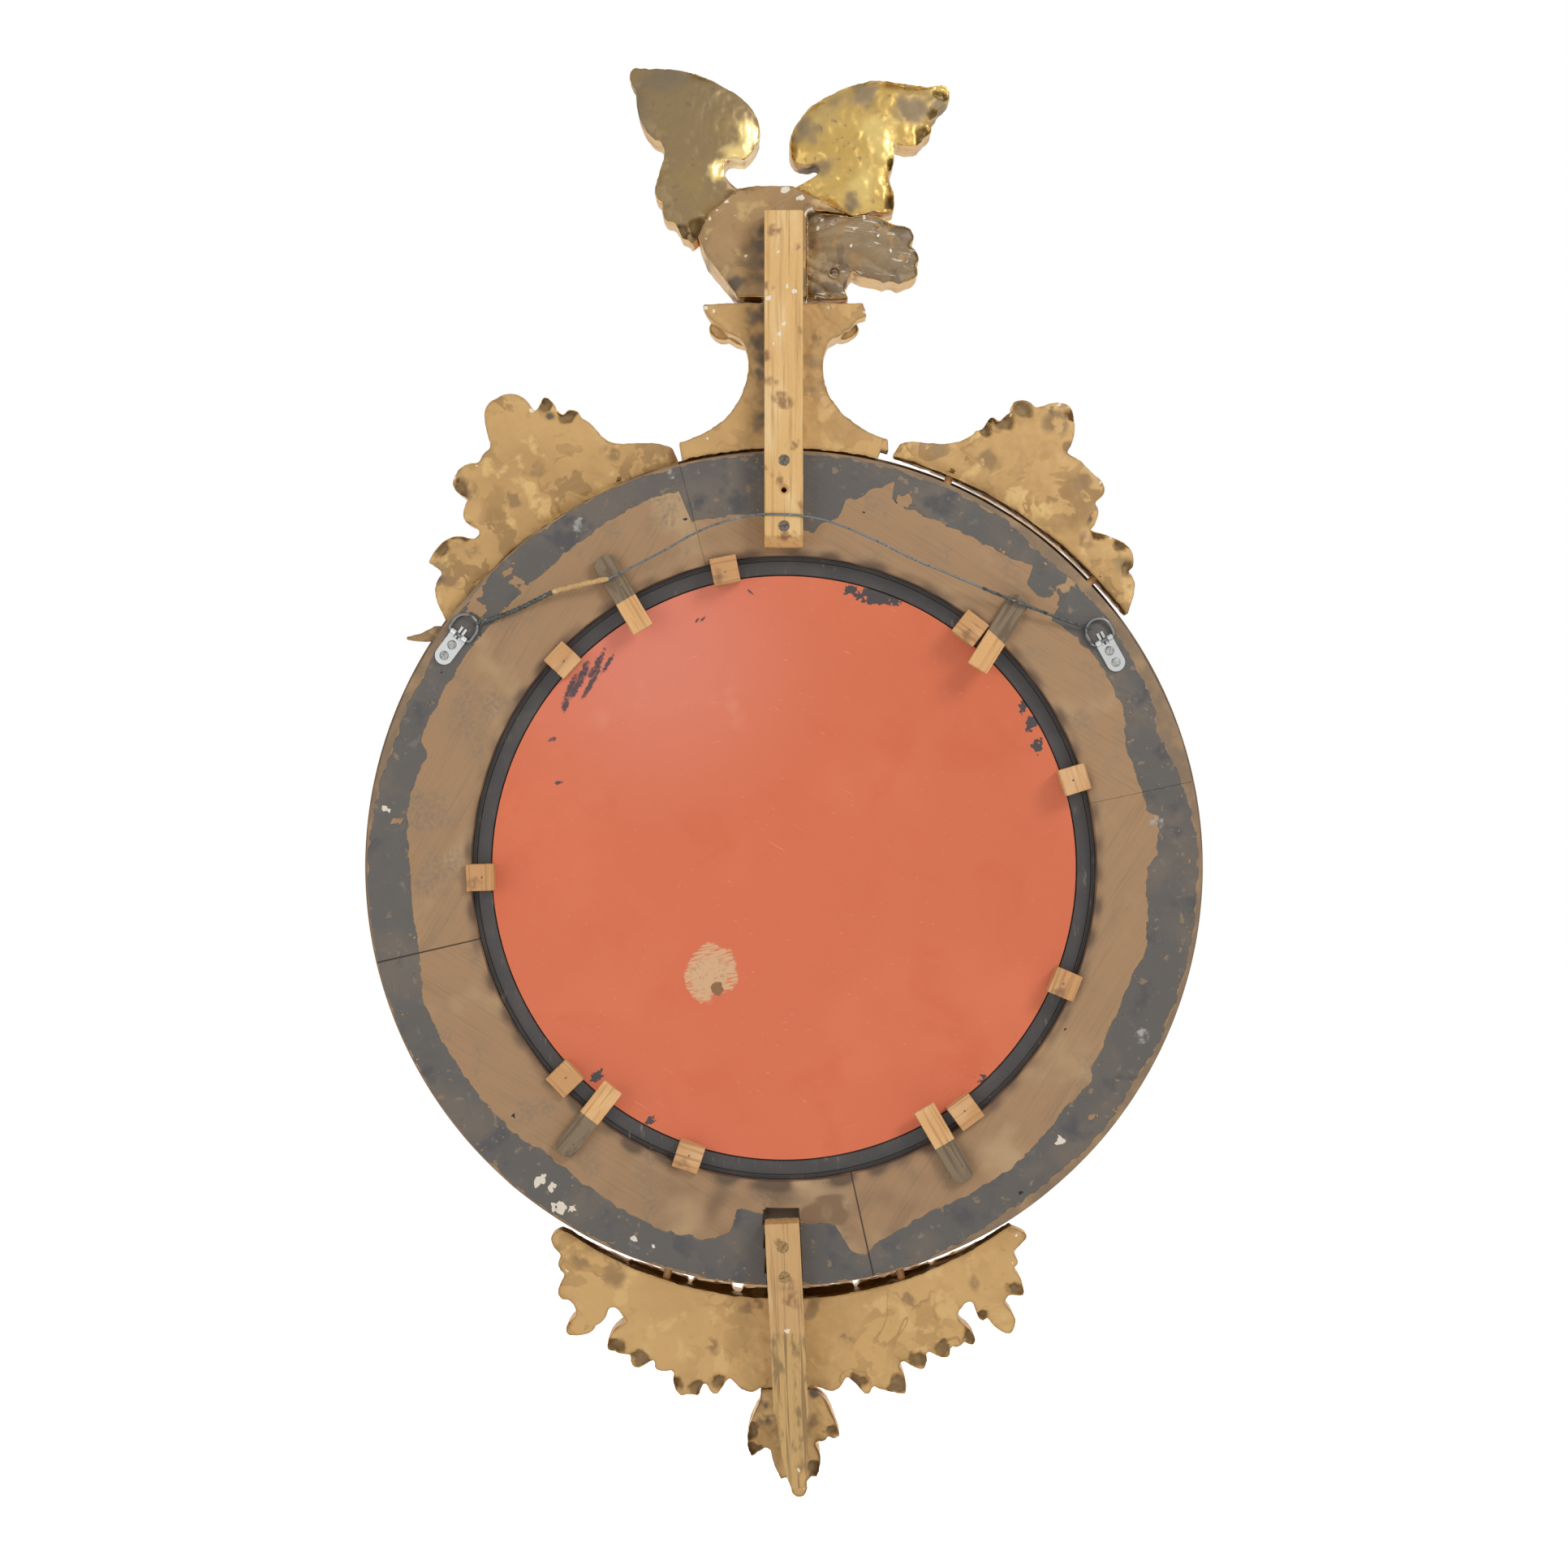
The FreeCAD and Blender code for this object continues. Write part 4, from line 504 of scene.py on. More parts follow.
def meshed(name, points, faces, sharp):
    """A closed mesh from points in millimetres, its faces turned outwards. Its shading breaks at edges of more
    than this many degrees."""
    mesh = bpy.data.meshes.new(name)
    mesh.from_pydata([tuple(p) for p in np.asarray(points, float) * MM], [], faces)
    shell = bmesh.new()
    shell.from_mesh(mesh)
    bmesh.ops.recalc_face_normals(shell, faces=shell.faces)
    shell.to_mesh(mesh)
    shell.free()
    mesh.shade_smooth()
    mesh.set_sharp_from_angle(angle=math.radians(sharp))
    return mesh


def store(mesh, name, values):
    """Gives the vertices a value that a material reads."""
    values = np.asarray(values, np.float32)
    kind = "FLOAT_VECTOR" if values.ndim == 2 else "FLOAT"
    made = mesh.attributes.new(name, kind, "POINT")
    made.data.foreach_set("vector" if values.ndim == 2 else "value", values.ravel())


def vertices(mesh):
    """The mesh's points in millimetres, and its normals."""
    points = np.zeros(len(mesh.vertices) * 3, np.float32)
    mesh.vertices.foreach_get("co", points)
    normals = np.zeros(len(mesh.vertices) * 3, np.float32)
    mesh.vertex_normals.foreach_get("vector", normals)
    return points.reshape(-1, 3).astype(float) / MM, normals.reshape(-1, 3).astype(float)


def move(mesh, points):
    """Sets the mesh's points, given in millimetres."""
    mesh.vertices.foreach_set("co", (np.asarray(points, float) * MM).astype(np.float32).ravel())
    mesh.update()


def smooth_step(value, low, high):
    """Rises smoothly from 0 at low to 1 at high."""
    t = np.clip((value - low) / (high - low), 0, 1)
    return t * t * (3 - 2 * t)


def unevenness(points, size, seed, waves=16):
    """Smooth waves over the points, about this long, whose usual height is 1."""
    pick = np.random.default_rng(seed)
    ways = pick.normal(size=(waves, 3))
    ways /= np.linalg.norm(ways, axis=1)[:, None]
    ways *= (math.tau / size * pick.uniform(0.6, 1.5, waves))[:, None]
    start = pick.uniform(0, math.tau, waves)
    return np.sin(points @ ways.T + start).sum(1) * math.sqrt(2 / waves)


def applied(piece):
    """The piece's mesh with its modifiers made part of it. The piece itself is removed."""
    bpy.context.view_layer.update()
    shown = piece.evaluated_get(bpy.context.evaluated_depsgraph_get())
    mesh = bpy.data.meshes.new_from_object(shown)
    bpy.data.objects.remove(piece)
    return mesh


def softened(name, node, grain):
    """The node's solid as one skin of even faces about grain millimetres wide, with its edges eased."""
    source = nodes[node].data.copy()
    shell = bmesh.new()
    shell.from_mesh(source)
    bmesh.ops.remove_doubles(shell, verts=shell.verts, dist=1e-6)
    shell.to_mesh(source)
    shell.free()
    piece = linked(name, source)
    remesh = piece.modifiers.new("even", "REMESH")
    remesh.mode = "VOXEL"
    remesh.voxel_size = grain * MM
    ease = piece.modifiers.new("ease", "SMOOTH")
    ease.factor = 0.5
    ease.iterations = 2
    mesh = applied(piece)
    mesh.name = name
    mesh.shade_smooth()
    return mesh


def spots(points, places, core=0.45):
    """How much each point is in one of these ragged places, given as x, height, radius."""
    here = np.zeros(len(points))
    for i, (x, height, radius) in enumerate(places):
        near = np.hypot(points[:, 0] - x, points[:, 2] - height) < 2.2 * radius
        close = points[near]
        away = np.hypot(close[:, 0] - x, close[:, 2] - height) / radius
        away += 0.2 * unevenness(close, 1.9 * radius, 70 + i) + 0.08 * unevenness(close, 0.6 * radius, 90 + i)
        here[near] = np.maximum(here[near], 1 - smooth_step(away, core, 1.0))
    return here


def on_ring(along, out, turn, radius):
    """X and height of a point of a bracket's own drawing, whose frame is turned round the ring."""
    a = math.radians(turn)
    x = (radius + out) * math.sin(a) + along * math.cos(a)
    return x, (radius + out) * math.cos(a) - along * math.sin(a) + RING_HEIGHT


# ---------------------------------------------------------------- the wire

def route_line(name, route):
    """The smooth line of a stretch of the wire's route."""
    curve = bpy.data.curves.new(name, "CURVE")
    curve.dimensions = "3D"
    curve.resolution_u = 24
    spline = curve.splines.new("NURBS")
    spline.points.add(len(route) - 1)
    for point, (x, depth, height) in zip(spline.points, route):
        point.co = (x * MM, -depth * MM, height * MM, 1)
    spline.order_u = 3
    spline.use_endpoint_u = True
    line = applied(linked(name, curve))
    points = np.array([v.co for v in line.vertices], float) / MM
    bpy.data.meshes.remove(line)
    return points


def evenly(points, step):
    """The same line with a point every so many millimetres."""
    runs = np.concatenate([[0], np.cumsum(np.linalg.norm(np.diff(points, axis=0), axis=1))])
    at = np.linspace(0, runs[-1], max(int(runs[-1] / step), 4) + 1)
    return np.stack([np.interp(at, runs, points[:, i]) for i in range(3)], 1), at


def twisted(name, points, radius, strands, lay, waist, step=0.6, sides=28):
    """A rope of strands wound round each other once in every lay millimetres. The waist is how deep they part."""
    line, run = evenly(points, step)
    way = np.gradient(line, axis=0)
    way /= np.linalg.norm(way, axis=1)[:, None]
    side = np.cross(way, [0, 1, 0])
    side /= np.linalg.norm(side, axis=1)[:, None]
    lift = np.cross(side, way)
    round_it = np.linspace(0, math.tau, sides, endpoint=False)
    turn = round_it[None, :] - (math.tau * run / lay)[:, None]
    reach = radius * (1 - waist + waist * np.abs(np.cos(turn * strands / 2)))
    rings = line[:, None, :] + reach[:, :, None] * (
        np.cos(round_it)[None, :, None] * side[:, None, :] + np.sin(round_it)[None, :, None] * lift[:, None, :]
    )
    return meshed(name, rings.reshape(-1, 3), lofted(len(line), sides), 80)


# The wire's route from the right D-ring to the left one, as X, depth and height above the hook
TAIL = ((245.5, 18.2, -87.2), (227, 16.2, -78.9), (205.7, 13.9, -68.3))
UNDER_TAPE = ((181, 11.9, -61.5), (155.1, 9.8, -56.6))
WIRE = (
    (155.1, 9.8, -56.6), (115.3, 6.6, -37.7), (75.8, 3.4, -14.5), (43.6, 0.9, -3.9), (18.5, -1.4, 0),
    (-19, -1.4, -1.6), (-49, 0.6, -9.4), (-81.7, 3.8, -23.3), (-114.6, 6.6, -40.2), (-152.7, 9.6, -55),
    (-175.5, 11, -64.8),
)
DOUBLE = ((-175.5, 11, -64.8), (-199, 12.1, -74.2), (-231, 14.3, -86.4), (-249, 16.9, -92.6))
EYE_RIGHT = (272.6, 20.05, -95.8)
EYE_LEFT = (-269.0, 20.1, -99.6)
EYE_REACH = 3.6  # from the middle of an eye to where the wire leaves it


def towards_eye(eye, neighbour):
    """Where the wire leaves its eye, on the way to its neighbouring point."""
    eye, neighbour = np.array(eye), np.array(neighbour)
    return tuple(eye + (neighbour - eye) / np.linalg.norm(neighbour - eye) * EYE_REACH)


def wires():
    """The twisted tail, the tape over its end, the long bare wire and the doubled end."""
    right_end = towards_eye(EYE_RIGHT, TAIL[0])
    left_end = towards_eye(EYE_LEFT, DOUBLE[-1])
    tail_line = route_line("tail_route", (right_end,) + TAIL)
    tail = put("twisted_tail", twisted("twisted_tail", tail_line, 2.2, 2, 10.5, 0.42), WIRE_DARK, None,
               ["wire_twisted_tail"])
    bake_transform(tail)
    tape_line = route_line("tape_route", (TAIL[-1],) + UNDER_TAPE)
    tape = put("tape_wrap", wrapped_tape(tape_line), TAPE, "mirror", ["wire_tape_wrap"])
    wire_line = route_line("wire_route", WIRE)
    wire = put("picture_wire", twisted("picture_wire", wire_line, 1.0, 3, 7.0, 0.2, 0.8, 18), WIRE_GREY, "mirror",
               ["hanging_wire"])
    double_line = route_line("double_route", DOUBLE + (left_end,))
    double = put("doubled_wire", twisted("doubled_wire", double_line, 1.5, 2, 24, 0.28), WIRE_DARK, None,
                 ["wire_doubled_end"])
    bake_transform(double)


def wrapped_tape(points):
    """Paper tape wound slantwise over the wire, its turns a little proud and its ends torn."""
    step, sides = 0.5, 32
    line, run = evenly(points, step)
    mesh = twisted("tape_wrap", points, 2.4, 1, 13.0, 0.16, step, sides)
    skin = vertices(mesh)[0]
    middle = np.repeat(line, sides, axis=0)
    torn = np.clip(np.minimum(run, run[-1] - run) / 3.5, 0, 1) ** 0.5
    keep = np.repeat(0.55 + 0.45 * torn, sides) * (1 + 0.06 * unevenness(skin, 4.0, 5))
    move(mesh, middle + (skin - middle) * keep[:, None])
    return mesh


wires()

# ---------------------------------------------------------------- the ring frame

# The brushed edges of the black wash, inner and outer, as clock angle and radius
WASH_STARTS = (
    (0, 306), (5, 300), (6, 309), (8, 313), (9, 318), (9.5, 333), (11, 334), (13, 346), (14.5, 351), (16, 359),
    (16.3, 343), (19, 338), (31, 339), (37, 343), (39.5, 349), (40.5, 333), (43, 332), (46.5, 339), (47, 323),
    (49, 329), (56, 335), (65, 334), (69, 326), (72, 323), (79, 326), (81, 327), (82, 337), (85, 333), (88, 332),
    (90, 323), (94, 323), (98, 328), (103, 330), (108, 324), (116, 323), (123, 327), (125, 333), (130, 329),
    (143, 335), (157, 332), (162, 337), (166, 343), (168, 352), (170, 346), (171, 333), (172, 319), (177, 316),
    (180, 310), (187, 306), (188, 309), (188.3, 329), (192, 337), (199, 340), (210, 333), (220, 330), (226, 337),
    (240, 340), (250, 341), (258, 333), (270, 333), (277, 338), (280, 340), (288, 334), (289.3, 343), (300, 341),
    (320, 339), (330, 344), (339, 349), (344.5, 349), (345, 319), (355, 317), (360, 306),
)
WASH_ENDS = (
    (0, 369), (20, 368), (33, 367), (38, 361), (50, 364), (60, 361), (65, 361), (70, 354), (77, 361), (85, 368),
    (103, 368), (118, 367), (121, 364), (127, 367), (146, 364), (155, 368), (160, 371), (200, 370), (270, 371),
    (286, 365), (300, 364), (306, 367), (320, 370), (360, 369),
)
# Places of the ring's back, as clock angle, radius and half width: wood that the wash missed, white chips, pale
# grey scuffs, and nail holes, which all have one size
BARE = (
    (45, 362, 4.5), (45, 352, 4.5), (45, 342, 4.5), (45, 332, 5), (18, 344, 6), (310, 360, 8), (312, 367, 5),
    (317, 360, 5), (317, 350, 5), (317, 341, 4), (249, 362, 2.5), (277, 350, 3), (277, 345, 2.5), (129, 352, 3),
)
CHIPS = (
    (134.5, 345, 4.2), (213.5, 362, 5), (218, 353, 4.5), (202, 356, 2.4), (199, 356, 2), (278.5, 358, 3),
    (212, 357, 3), (216, 351, 3),
)
PALE = ((83, 334, 4), (83, 337, 3), (115, 352, 5), (329, 355, 4.5), (344, 366, 3))
PINHOLES = ((12.7, 324.4), (17, 341), (344.3, 322.7), (227.6, 326.8), (119.8, 288), (143.9, 357.8), (300, 352))
# The four felloes: node, angles at which they start and end, and how dark the joints there are
FELLOES = (
    ("frame_segment_upper_right", 14.5, 103, 0.35, 0.6),
    ("frame_segment_lower_right", 103, 192.4, 0.95, 0.75),
    ("frame_segment_lower_left", 192.4, 282, 0.75, 0.4),
    ("frame_segment_upper_left", 282, 374.5, 0.4, 0.45),
)


PINHOLE = 1.6  # half width of a nail hole
HALF_JOINT = 0.15  # half the gap between two felloes
BATTEN_LEAN = 2.8  # how far the lower batten leans towards +X, in degrees
# The housing that the lower batten is let into
HOUSING_X = -1.4  # its middle at the foot's datum
HOUSING_HALF = 15.8  # half its width
HOUSING_TOP = 77  # its end, along the batten from the foot's datum
HOUSING_DEPTH = 8.2


def ring_spots(clock, radius, places):
    """How deep each point is inside the nearest of these places, in millimetres."""
    depth = np.full(len(clock), -50.0)
    flat = np.stack([radius * np.sin(np.radians(clock)), radius * np.cos(np.radians(clock)), 0 * radius], 1)
    for angle, out, half in places:
        off = (clock - angle + 180) % 360 - 180
        ragged = 0.3 * half * unevenness(flat, 1.8 * half, int(angle))
        ragged += 0.15 * half * unevenness(flat, 0.7 * half, 3)
        depth = np.maximum(depth, half + ragged - np.hypot(np.radians(off) * radius, radius - out))
    return depth


def felloe_section():
    """A felloe's section as corners of radius and depth: its back corner is rounded, the others barely."""
    corner = 2.2
    turn = np.linspace(0, math.pi / 2, 5)[1:]
    section = [(r, RING_BACK) for r in np.linspace(OPENING + 0.7, RING_EDGE - corner, 53)]
    section += [
        (RING_EDGE - corner + corner * math.sin(t), RING_BACK + corner - corner * math.cos(t)) for t in turn
    ]
    section += [(RING_EDGE, d) for d in np.linspace(RING_BACK + 5, RING_FRONT - 0.8, 9)]
    section += [(r, RING_FRONT) for r in np.linspace(RING_EDGE - 0.8, OPENING + 0.5, 9)]
    section += [(OPENING, d) for d in np.linspace(RING_FRONT - 0.5, RING_BACK + 0.8, 9)]
    return np.array(section)


def felloe(name, start, end, dark_start, dark_end):
    """One sawn quarter of the ring, between two angles."""
    section = felloe_section()
    columns = np.radians(np.linspace(start, end, int((end - start) / 0.36)))
    columns[0] += HALF_JOINT / RING_EDGE
    columns[-1] -= HALF_JOINT / RING_EDGE
    radius = np.tile(section[:, 0], len(columns))
    depth = np.tile(section[:, 1], len(columns))
    angle = np.repeat(columns, len(section))
    flat = np.stack([radius * np.sin(angle), -depth, radius * np.cos(angle) + RING_HEIGHT], 1)
    # The opening and the edge were sawn by eye
    wander = np.abs(unevenness(flat * [1, 0, 1], 160, 3) * 0.35)
    outer = smooth_step(radius, RING_EDGE - 6, RING_EDGE)
    inner = 1 - smooth_step(radius, OPENING, OPENING + 6)
    radius = radius - wander * outer + 0.25 * wander * inner
    x, z = radius * np.sin(angle), radius * np.cos(angle)
    # The housing of the lower batten: the back's points inside it are set down to its bottom
    lean = math.radians(BATTEN_LEAN)
    foot_x, foot_z = HOUSING_X, FOOT - RING_HEIGHT
    across = (x - foot_x) * math.cos(lean) - (z - foot_z) * math.sin(lean)
    along = (x - foot_x) * math.sin(lean) + (z - foot_z) * math.cos(lean)
    bottom = RING_BACK + HOUSING_DEPTH
    housed = (np.abs(across) < HOUSING_HALF) & (along < HOUSING_TOP) & (depth < bottom)
    hollow = np.where(housed & (depth < bottom - 0.2), 1.0, 0.0)
    depth = np.where(housed, bottom, depth)
    points = np.stack([x, -depth, z + RING_HEIGHT], 1)
    back = (np.abs(depth - RING_BACK) < 0.6) | housed
    points[:, 1] -= np.where(back, 0.25 * np.abs(unevenness(points, 45, 4)), 0)
    mesh = meshed(name, points, lofted(len(columns), len(section)), 38)
    clock = -np.degrees(angle) % 360
    starts = np.interp(clock, *zip(*WASH_STARTS))
    ends = np.interp(clock, *zip(*WASH_ENDS))
    coat = np.minimum(radius - starts, ends - radius)
    coat = np.minimum(coat, -ring_spots(clock, radius, BARE))
    store(mesh, "coat", np.where(back, coat, -20))
    store(mesh, "rim", smooth_step(radius - ends, -1.5, 1.5))
    store(mesh, "chip", smooth_step(ring_spots(clock, radius, CHIPS), -3.0, 2.5) * back)
    store(mesh, "pale", smooth_step(ring_spots(clock, radius, PALE), -3, 2) * back)
    holes = [(c, r, PINHOLE) for c, r in PINHOLES]
    store(mesh, "pinhole", smooth_step(ring_spots(clock, radius, holes), -1, 1) * back)
    # The housing's floor is darkened as painted shade.
    store(mesh, "housing", hollow)
    rust = smooth_step(clock, 167.5, 169) * (1 - smooth_step(clock, 177, 179))
    rust *= smooth_step(radius, 291, 296) * (1 - smooth_step(radius, 325, 331))
    store(mesh, "rust", rust * back * (0.7 + 0.4 * unevenness(points, 18, 8)))
    butt = dark_start * np.exp(-(((angle - columns[0]) * radius / 0.9) ** 2))
    butt += dark_end * np.exp(-(((angle - columns[-1]) * radius / 0.9) ** 2))
    store(mesh, "joint", butt)
    # Painted shade next to the opening, and darker towards the bottom.
    shade_and_darkening = 1 - smooth_step(radius, OPENING, OPENING + 12) + 0.55 * np.exp(-(((clock - 180) / 30) ** 2))
    store(mesh, "shade_and_darkening", shade_and_darkening * (0.7 + 0.3 * unevenness(points, 30, 12)))
    # The boards' grain runs straight along each felloe's chord
    middle = math.radians((start + end) / 2)
    along_board = x * math.cos(middle) - z * math.sin(middle)
    over_board = x * math.sin(middle) + z * math.cos(middle)
    store(mesh, "grain", np.stack([along_board, over_board, depth], 1) * MM)
    put(name.replace("frame_segment", "felloe"), mesh, RING_WOOD, "mirror", [name])


for row in FELLOES:
    felloe(*row)


# ---------------------------------------------------------------- turned pieces

def eased(corners, cut):
    """The corners of a section, each rounded over this many millimetres."""
    out = []
    for i, corner in enumerate(corners):
        here = np.array(corner, float)
        before, after = np.array(corners[i - 1], float), np.array(corners[(i + 1) % len(corners)], float)
        first = here + (before - here) * min(0.45, cut / max(np.linalg.norm(before - here), 1e-6))
        last = here + (after - here) * min(0.45, cut / max(np.linalg.norm(after - here), 1e-6))
        out += [tuple(first), tuple((first + last + 2 * here) / 4), tuple(last)]
    return out


def turned(name, section, material, node, steps=300, sharp=35):
    """A ring turned from a closed section of (radius, depth) corners."""
    section = np.array(section, float)
    angle = np.linspace(0, math.tau, steps, endpoint=False)
    radius, depth = section[:, 0], section[:, 1]
    x, z = np.outer(np.sin(angle), radius), np.outer(np.cos(angle), radius) + RING_HEIGHT
    points = np.stack([x, -np.tile(depth, (steps, 1)), z], 2).reshape(-1, 3)
    mesh = meshed(name, points, lofted(steps, len(section), closed=True), sharp)
    return put(name, mesh, material, "mirror", [node])


def arc(centre, depth, radius, start, end, count):
    """Points of an arc of a section. Its angles grow from outwards towards the wall."""
    turn = np.radians(np.linspace(start, end, count))
    return [(centre + radius * math.cos(t), depth - radius * math.sin(t)) for t in turn]


def domed_disc(name, material, node, back, front, edge, rise, back_depth):
    """A shallow dome, hollow towards the wall. back and front are how far its two skins stand off a sphere that
    rises over the edge."""
    sphere = (edge * edge + rise * rise) / (2 * rise)
    rings = 64
    spokes = 192
    out = np.linspace(0, 1, rings + 1)[1:] * edge
    skin, faces = [], []
    for layer, thick in enumerate((back, front)):
        bow = np.sqrt((sphere + thick) ** 2 - out ** 2) - sphere
        depth = back_depth + rise + bow
        first = len(skin)
        skin.append((0, -(back_depth + rise + thick), RING_HEIGHT))
        for r, d in zip(out, depth):
            turn = np.linspace(0, math.tau, spokes, endpoint=False)
            skin += [(r * math.sin(t), -d, r * math.cos(t) + RING_HEIGHT) for t in turn]
        faces += [(first, first + 1 + j, first + 1 + (j + 1) % spokes) for j in range(spokes)]
        for i in range(rings - 1):
            a = first + 1 + i * spokes
            b = a + spokes
            faces += [(a + j, b + j, b + (j + 1) % spokes, a + (j + 1) % spokes) for j in range(spokes)]
    last = 1 + (rings - 1) * spokes
    other = last + 1 + rings * spokes
    faces += [(last + j, other + j, other + (j + 1) % spokes, last + (j + 1) % spokes) for j in range(spokes)]
    put(name, meshed(name, skin, faces, 40), material, "mirror", [node])


def mouldings():
    """The sections of the cove, the sight bead and the slip, as radius and depth, and the two domed plates."""
    cove = eased([(279.2, 54.1), (362, 54.1), (362, 94)], 0.8) + [(352, 94), (347.5, 94)]
    cove += arc(312, 96, 34, 5, 142, 40) + [(283.5, 76), (279.8, 76), (279.2, 75.4)]
    turned("cove", cove, GILDING, "cove_moulding")
    bead = eased([(266.2, 62.2), (278.5, 62.2), (278.5, 71.8)], 0.6)
    bead += arc(272.3, 72, 4.9, -5, -175, 20) + [(266.2, 71.8)]
    turned("sight_bead", bead, GILDING, "inner_bead")
    reeds = [(258, 60.1)] + arc(255.6, 59.6, 2.9, -20, -160, 10) + arc(249.4, 57.6, 2.9, -20, -160, 10)
    slip = [(278.5, 37.4), (278.5, 61.7), (262, 61.7)] + reeds
    slip += [(245.2, 56), (245.2, 45.5), (261.6, 41.6), (261.9, 38.4), (262.8, 37.3)]
    slip += [(268, 37.1), (274.4, 37.3), (275.2, 38.3), (276.6, 38.3), (277.4, 37.4)]
    turned("slip", slip, EBONY, "ebonised_slip")
    rise, edge_depth = 38, 37.4
    domed_disc("red_back", RED, "backing_sheet", 0.0, 0.78, 261.3, rise, edge_depth)
    domed_disc("looking_glass", SILVER, "mirror_plate", 0.82, 4.0, 261.4, rise, edge_depth)


mouldings()

# ---------------------------------------------------------------- what repeats

def tree_with(name, sizes):
    """A Geometry Nodes tree whose named inputs are these sizes."""
    tree = bpy.data.node_groups.new(name, "GeometryNodeTree")
    tree.interface.new_socket("Geometry", in_out="INPUT", socket_type="NodeSocketGeometry")
    for label, value in sizes.items():
        kind = "NodeSocketInt" if isinstance(value, int) else "NodeSocketFloat"
        socket = tree.interface.new_socket(label, in_out="INPUT", socket_type=kind)
        socket.default_value = value
    tree.interface.new_socket("Geometry", in_out="OUTPUT", socket_type="NodeSocketGeometry")
    return tree, add(tree, "NodeGroupInput").outputs


def grown(tree, last, material, sizes):
    """Ends the tree, runs it on an empty mesh with these sizes, and returns the plain mesh."""
    real = add(tree, "GeometryNodeRealizeInstances", {0: last})
    painted = add(tree, "GeometryNodeSetMaterial", {"Geometry": real.outputs[0], "Material": material})
    shaded = add(tree, "GeometryNodeSetShadeSmooth", {0: painted.outputs[0]})
    add(tree, "NodeGroupOutput", {0: shaded.outputs[0]})
    holder = linked(tree.name, bpy.data.meshes.new(tree.name))
    modifier = holder.modifiers.new("grow", "NODES")
    modifier.node_group = tree
    for item in tree.interface.items_tree:
        if item.in_out == "INPUT" and item.name in sizes:
            modifier[item.identifier] = sizes[item.name]
    return applied(holder)


def stood_up(tree, flat, depth):
    """What was laid out flat round the origin, stood upright round the ring's centre at this depth."""
    down = add(tree, "ShaderNodeMath", {0: depth, 1: -1.0}, operation="MULTIPLY")
    place = add(tree, "ShaderNodeCombineXYZ", {"X": 0.0, "Y": down.outputs[0], "Z": RING_HEIGHT * MM})
    inputs = {"Geometry": flat, "Translation": place.outputs[0], "Rotation": [math.radians(90), 0, 0]}
    return add(tree, "GeometryNodeTransform", inputs).outputs[0]


def cove_balls():
    """Carved balls in the hollow of the cove, each a little out of round and turned its own way."""
    sizes = {"Balls": 36, "Ring radius": 312.0 * MM, "Ball radius": 9.7 * MM, "Depth": 72.2 * MM,
             "Out of round": 0.04, "Seed": 11}
    tree, given = tree_with("balls_round_the_cove", sizes)
    circle = add(tree, "GeometryNodeMeshCircle", {"Vertices": given["Balls"], "Radius": given["Ring radius"]})
    stood = stood_up(tree, circle.outputs[0], given["Depth"])
    ball = add(tree, "GeometryNodeMeshIcoSphere", {"Radius": given["Ball radius"], "Subdivisions": 4})
    wave = add(tree, "ShaderNodeTexNoise", {"Scale": 90.0, "Detail": 1.0})
    up = add(tree, "ShaderNodeMapRange", {"Value": wave.outputs["Fac"], "To Min": -0.7 * MM, "To Max": 0.0})
    outwards = add(tree, "GeometryNodeInputNormal").outputs[0]
    push = add(tree, "ShaderNodeVectorMath", {0: outwards}, operation="SCALE")
    tree.links.new(up.outputs[0], push.inputs["Scale"])
    carved = add(tree, "GeometryNodeSetPosition", {"Geometry": ball.outputs[0], "Offset": push.outputs[0]})
    full_turn = [6.28, 6.28, 6.28]
    spin = add(tree, "FunctionNodeRandomValue", {0: [0, 0, 0], 1: full_turn, "Seed": given["Seed"]},
               data_type="FLOAT_VECTOR")
    least = add(tree, "ShaderNodeMath", {0: 1.0, 1: given["Out of round"]}, operation="SUBTRACT")
    size = add(tree, "FunctionNodeRandomValue", {"Seed": given["Seed"]}, data_type="FLOAT")
    tree.links.new(least.outputs[0], size.inputs[2])
    size.inputs[3].default_value = 1.0
    balls = add(tree, "GeometryNodeInstanceOnPoints", {
        "Points": stood, "Instance": carved.outputs[0], "Rotation": spin.outputs[0], "Scale": size.outputs[1]})
    row = grown(tree, balls.outputs[0], GILDING, sizes)
    put("cove_ball_row", row, GILDING, "mirror", ["cove_balls"])


BAND_RADIUS = 371.0  # from the ring's centre to the middle of the reeded band
BAND_DEPTH = 66.0  # depth of its middle
REEDS = 7  # all round its section


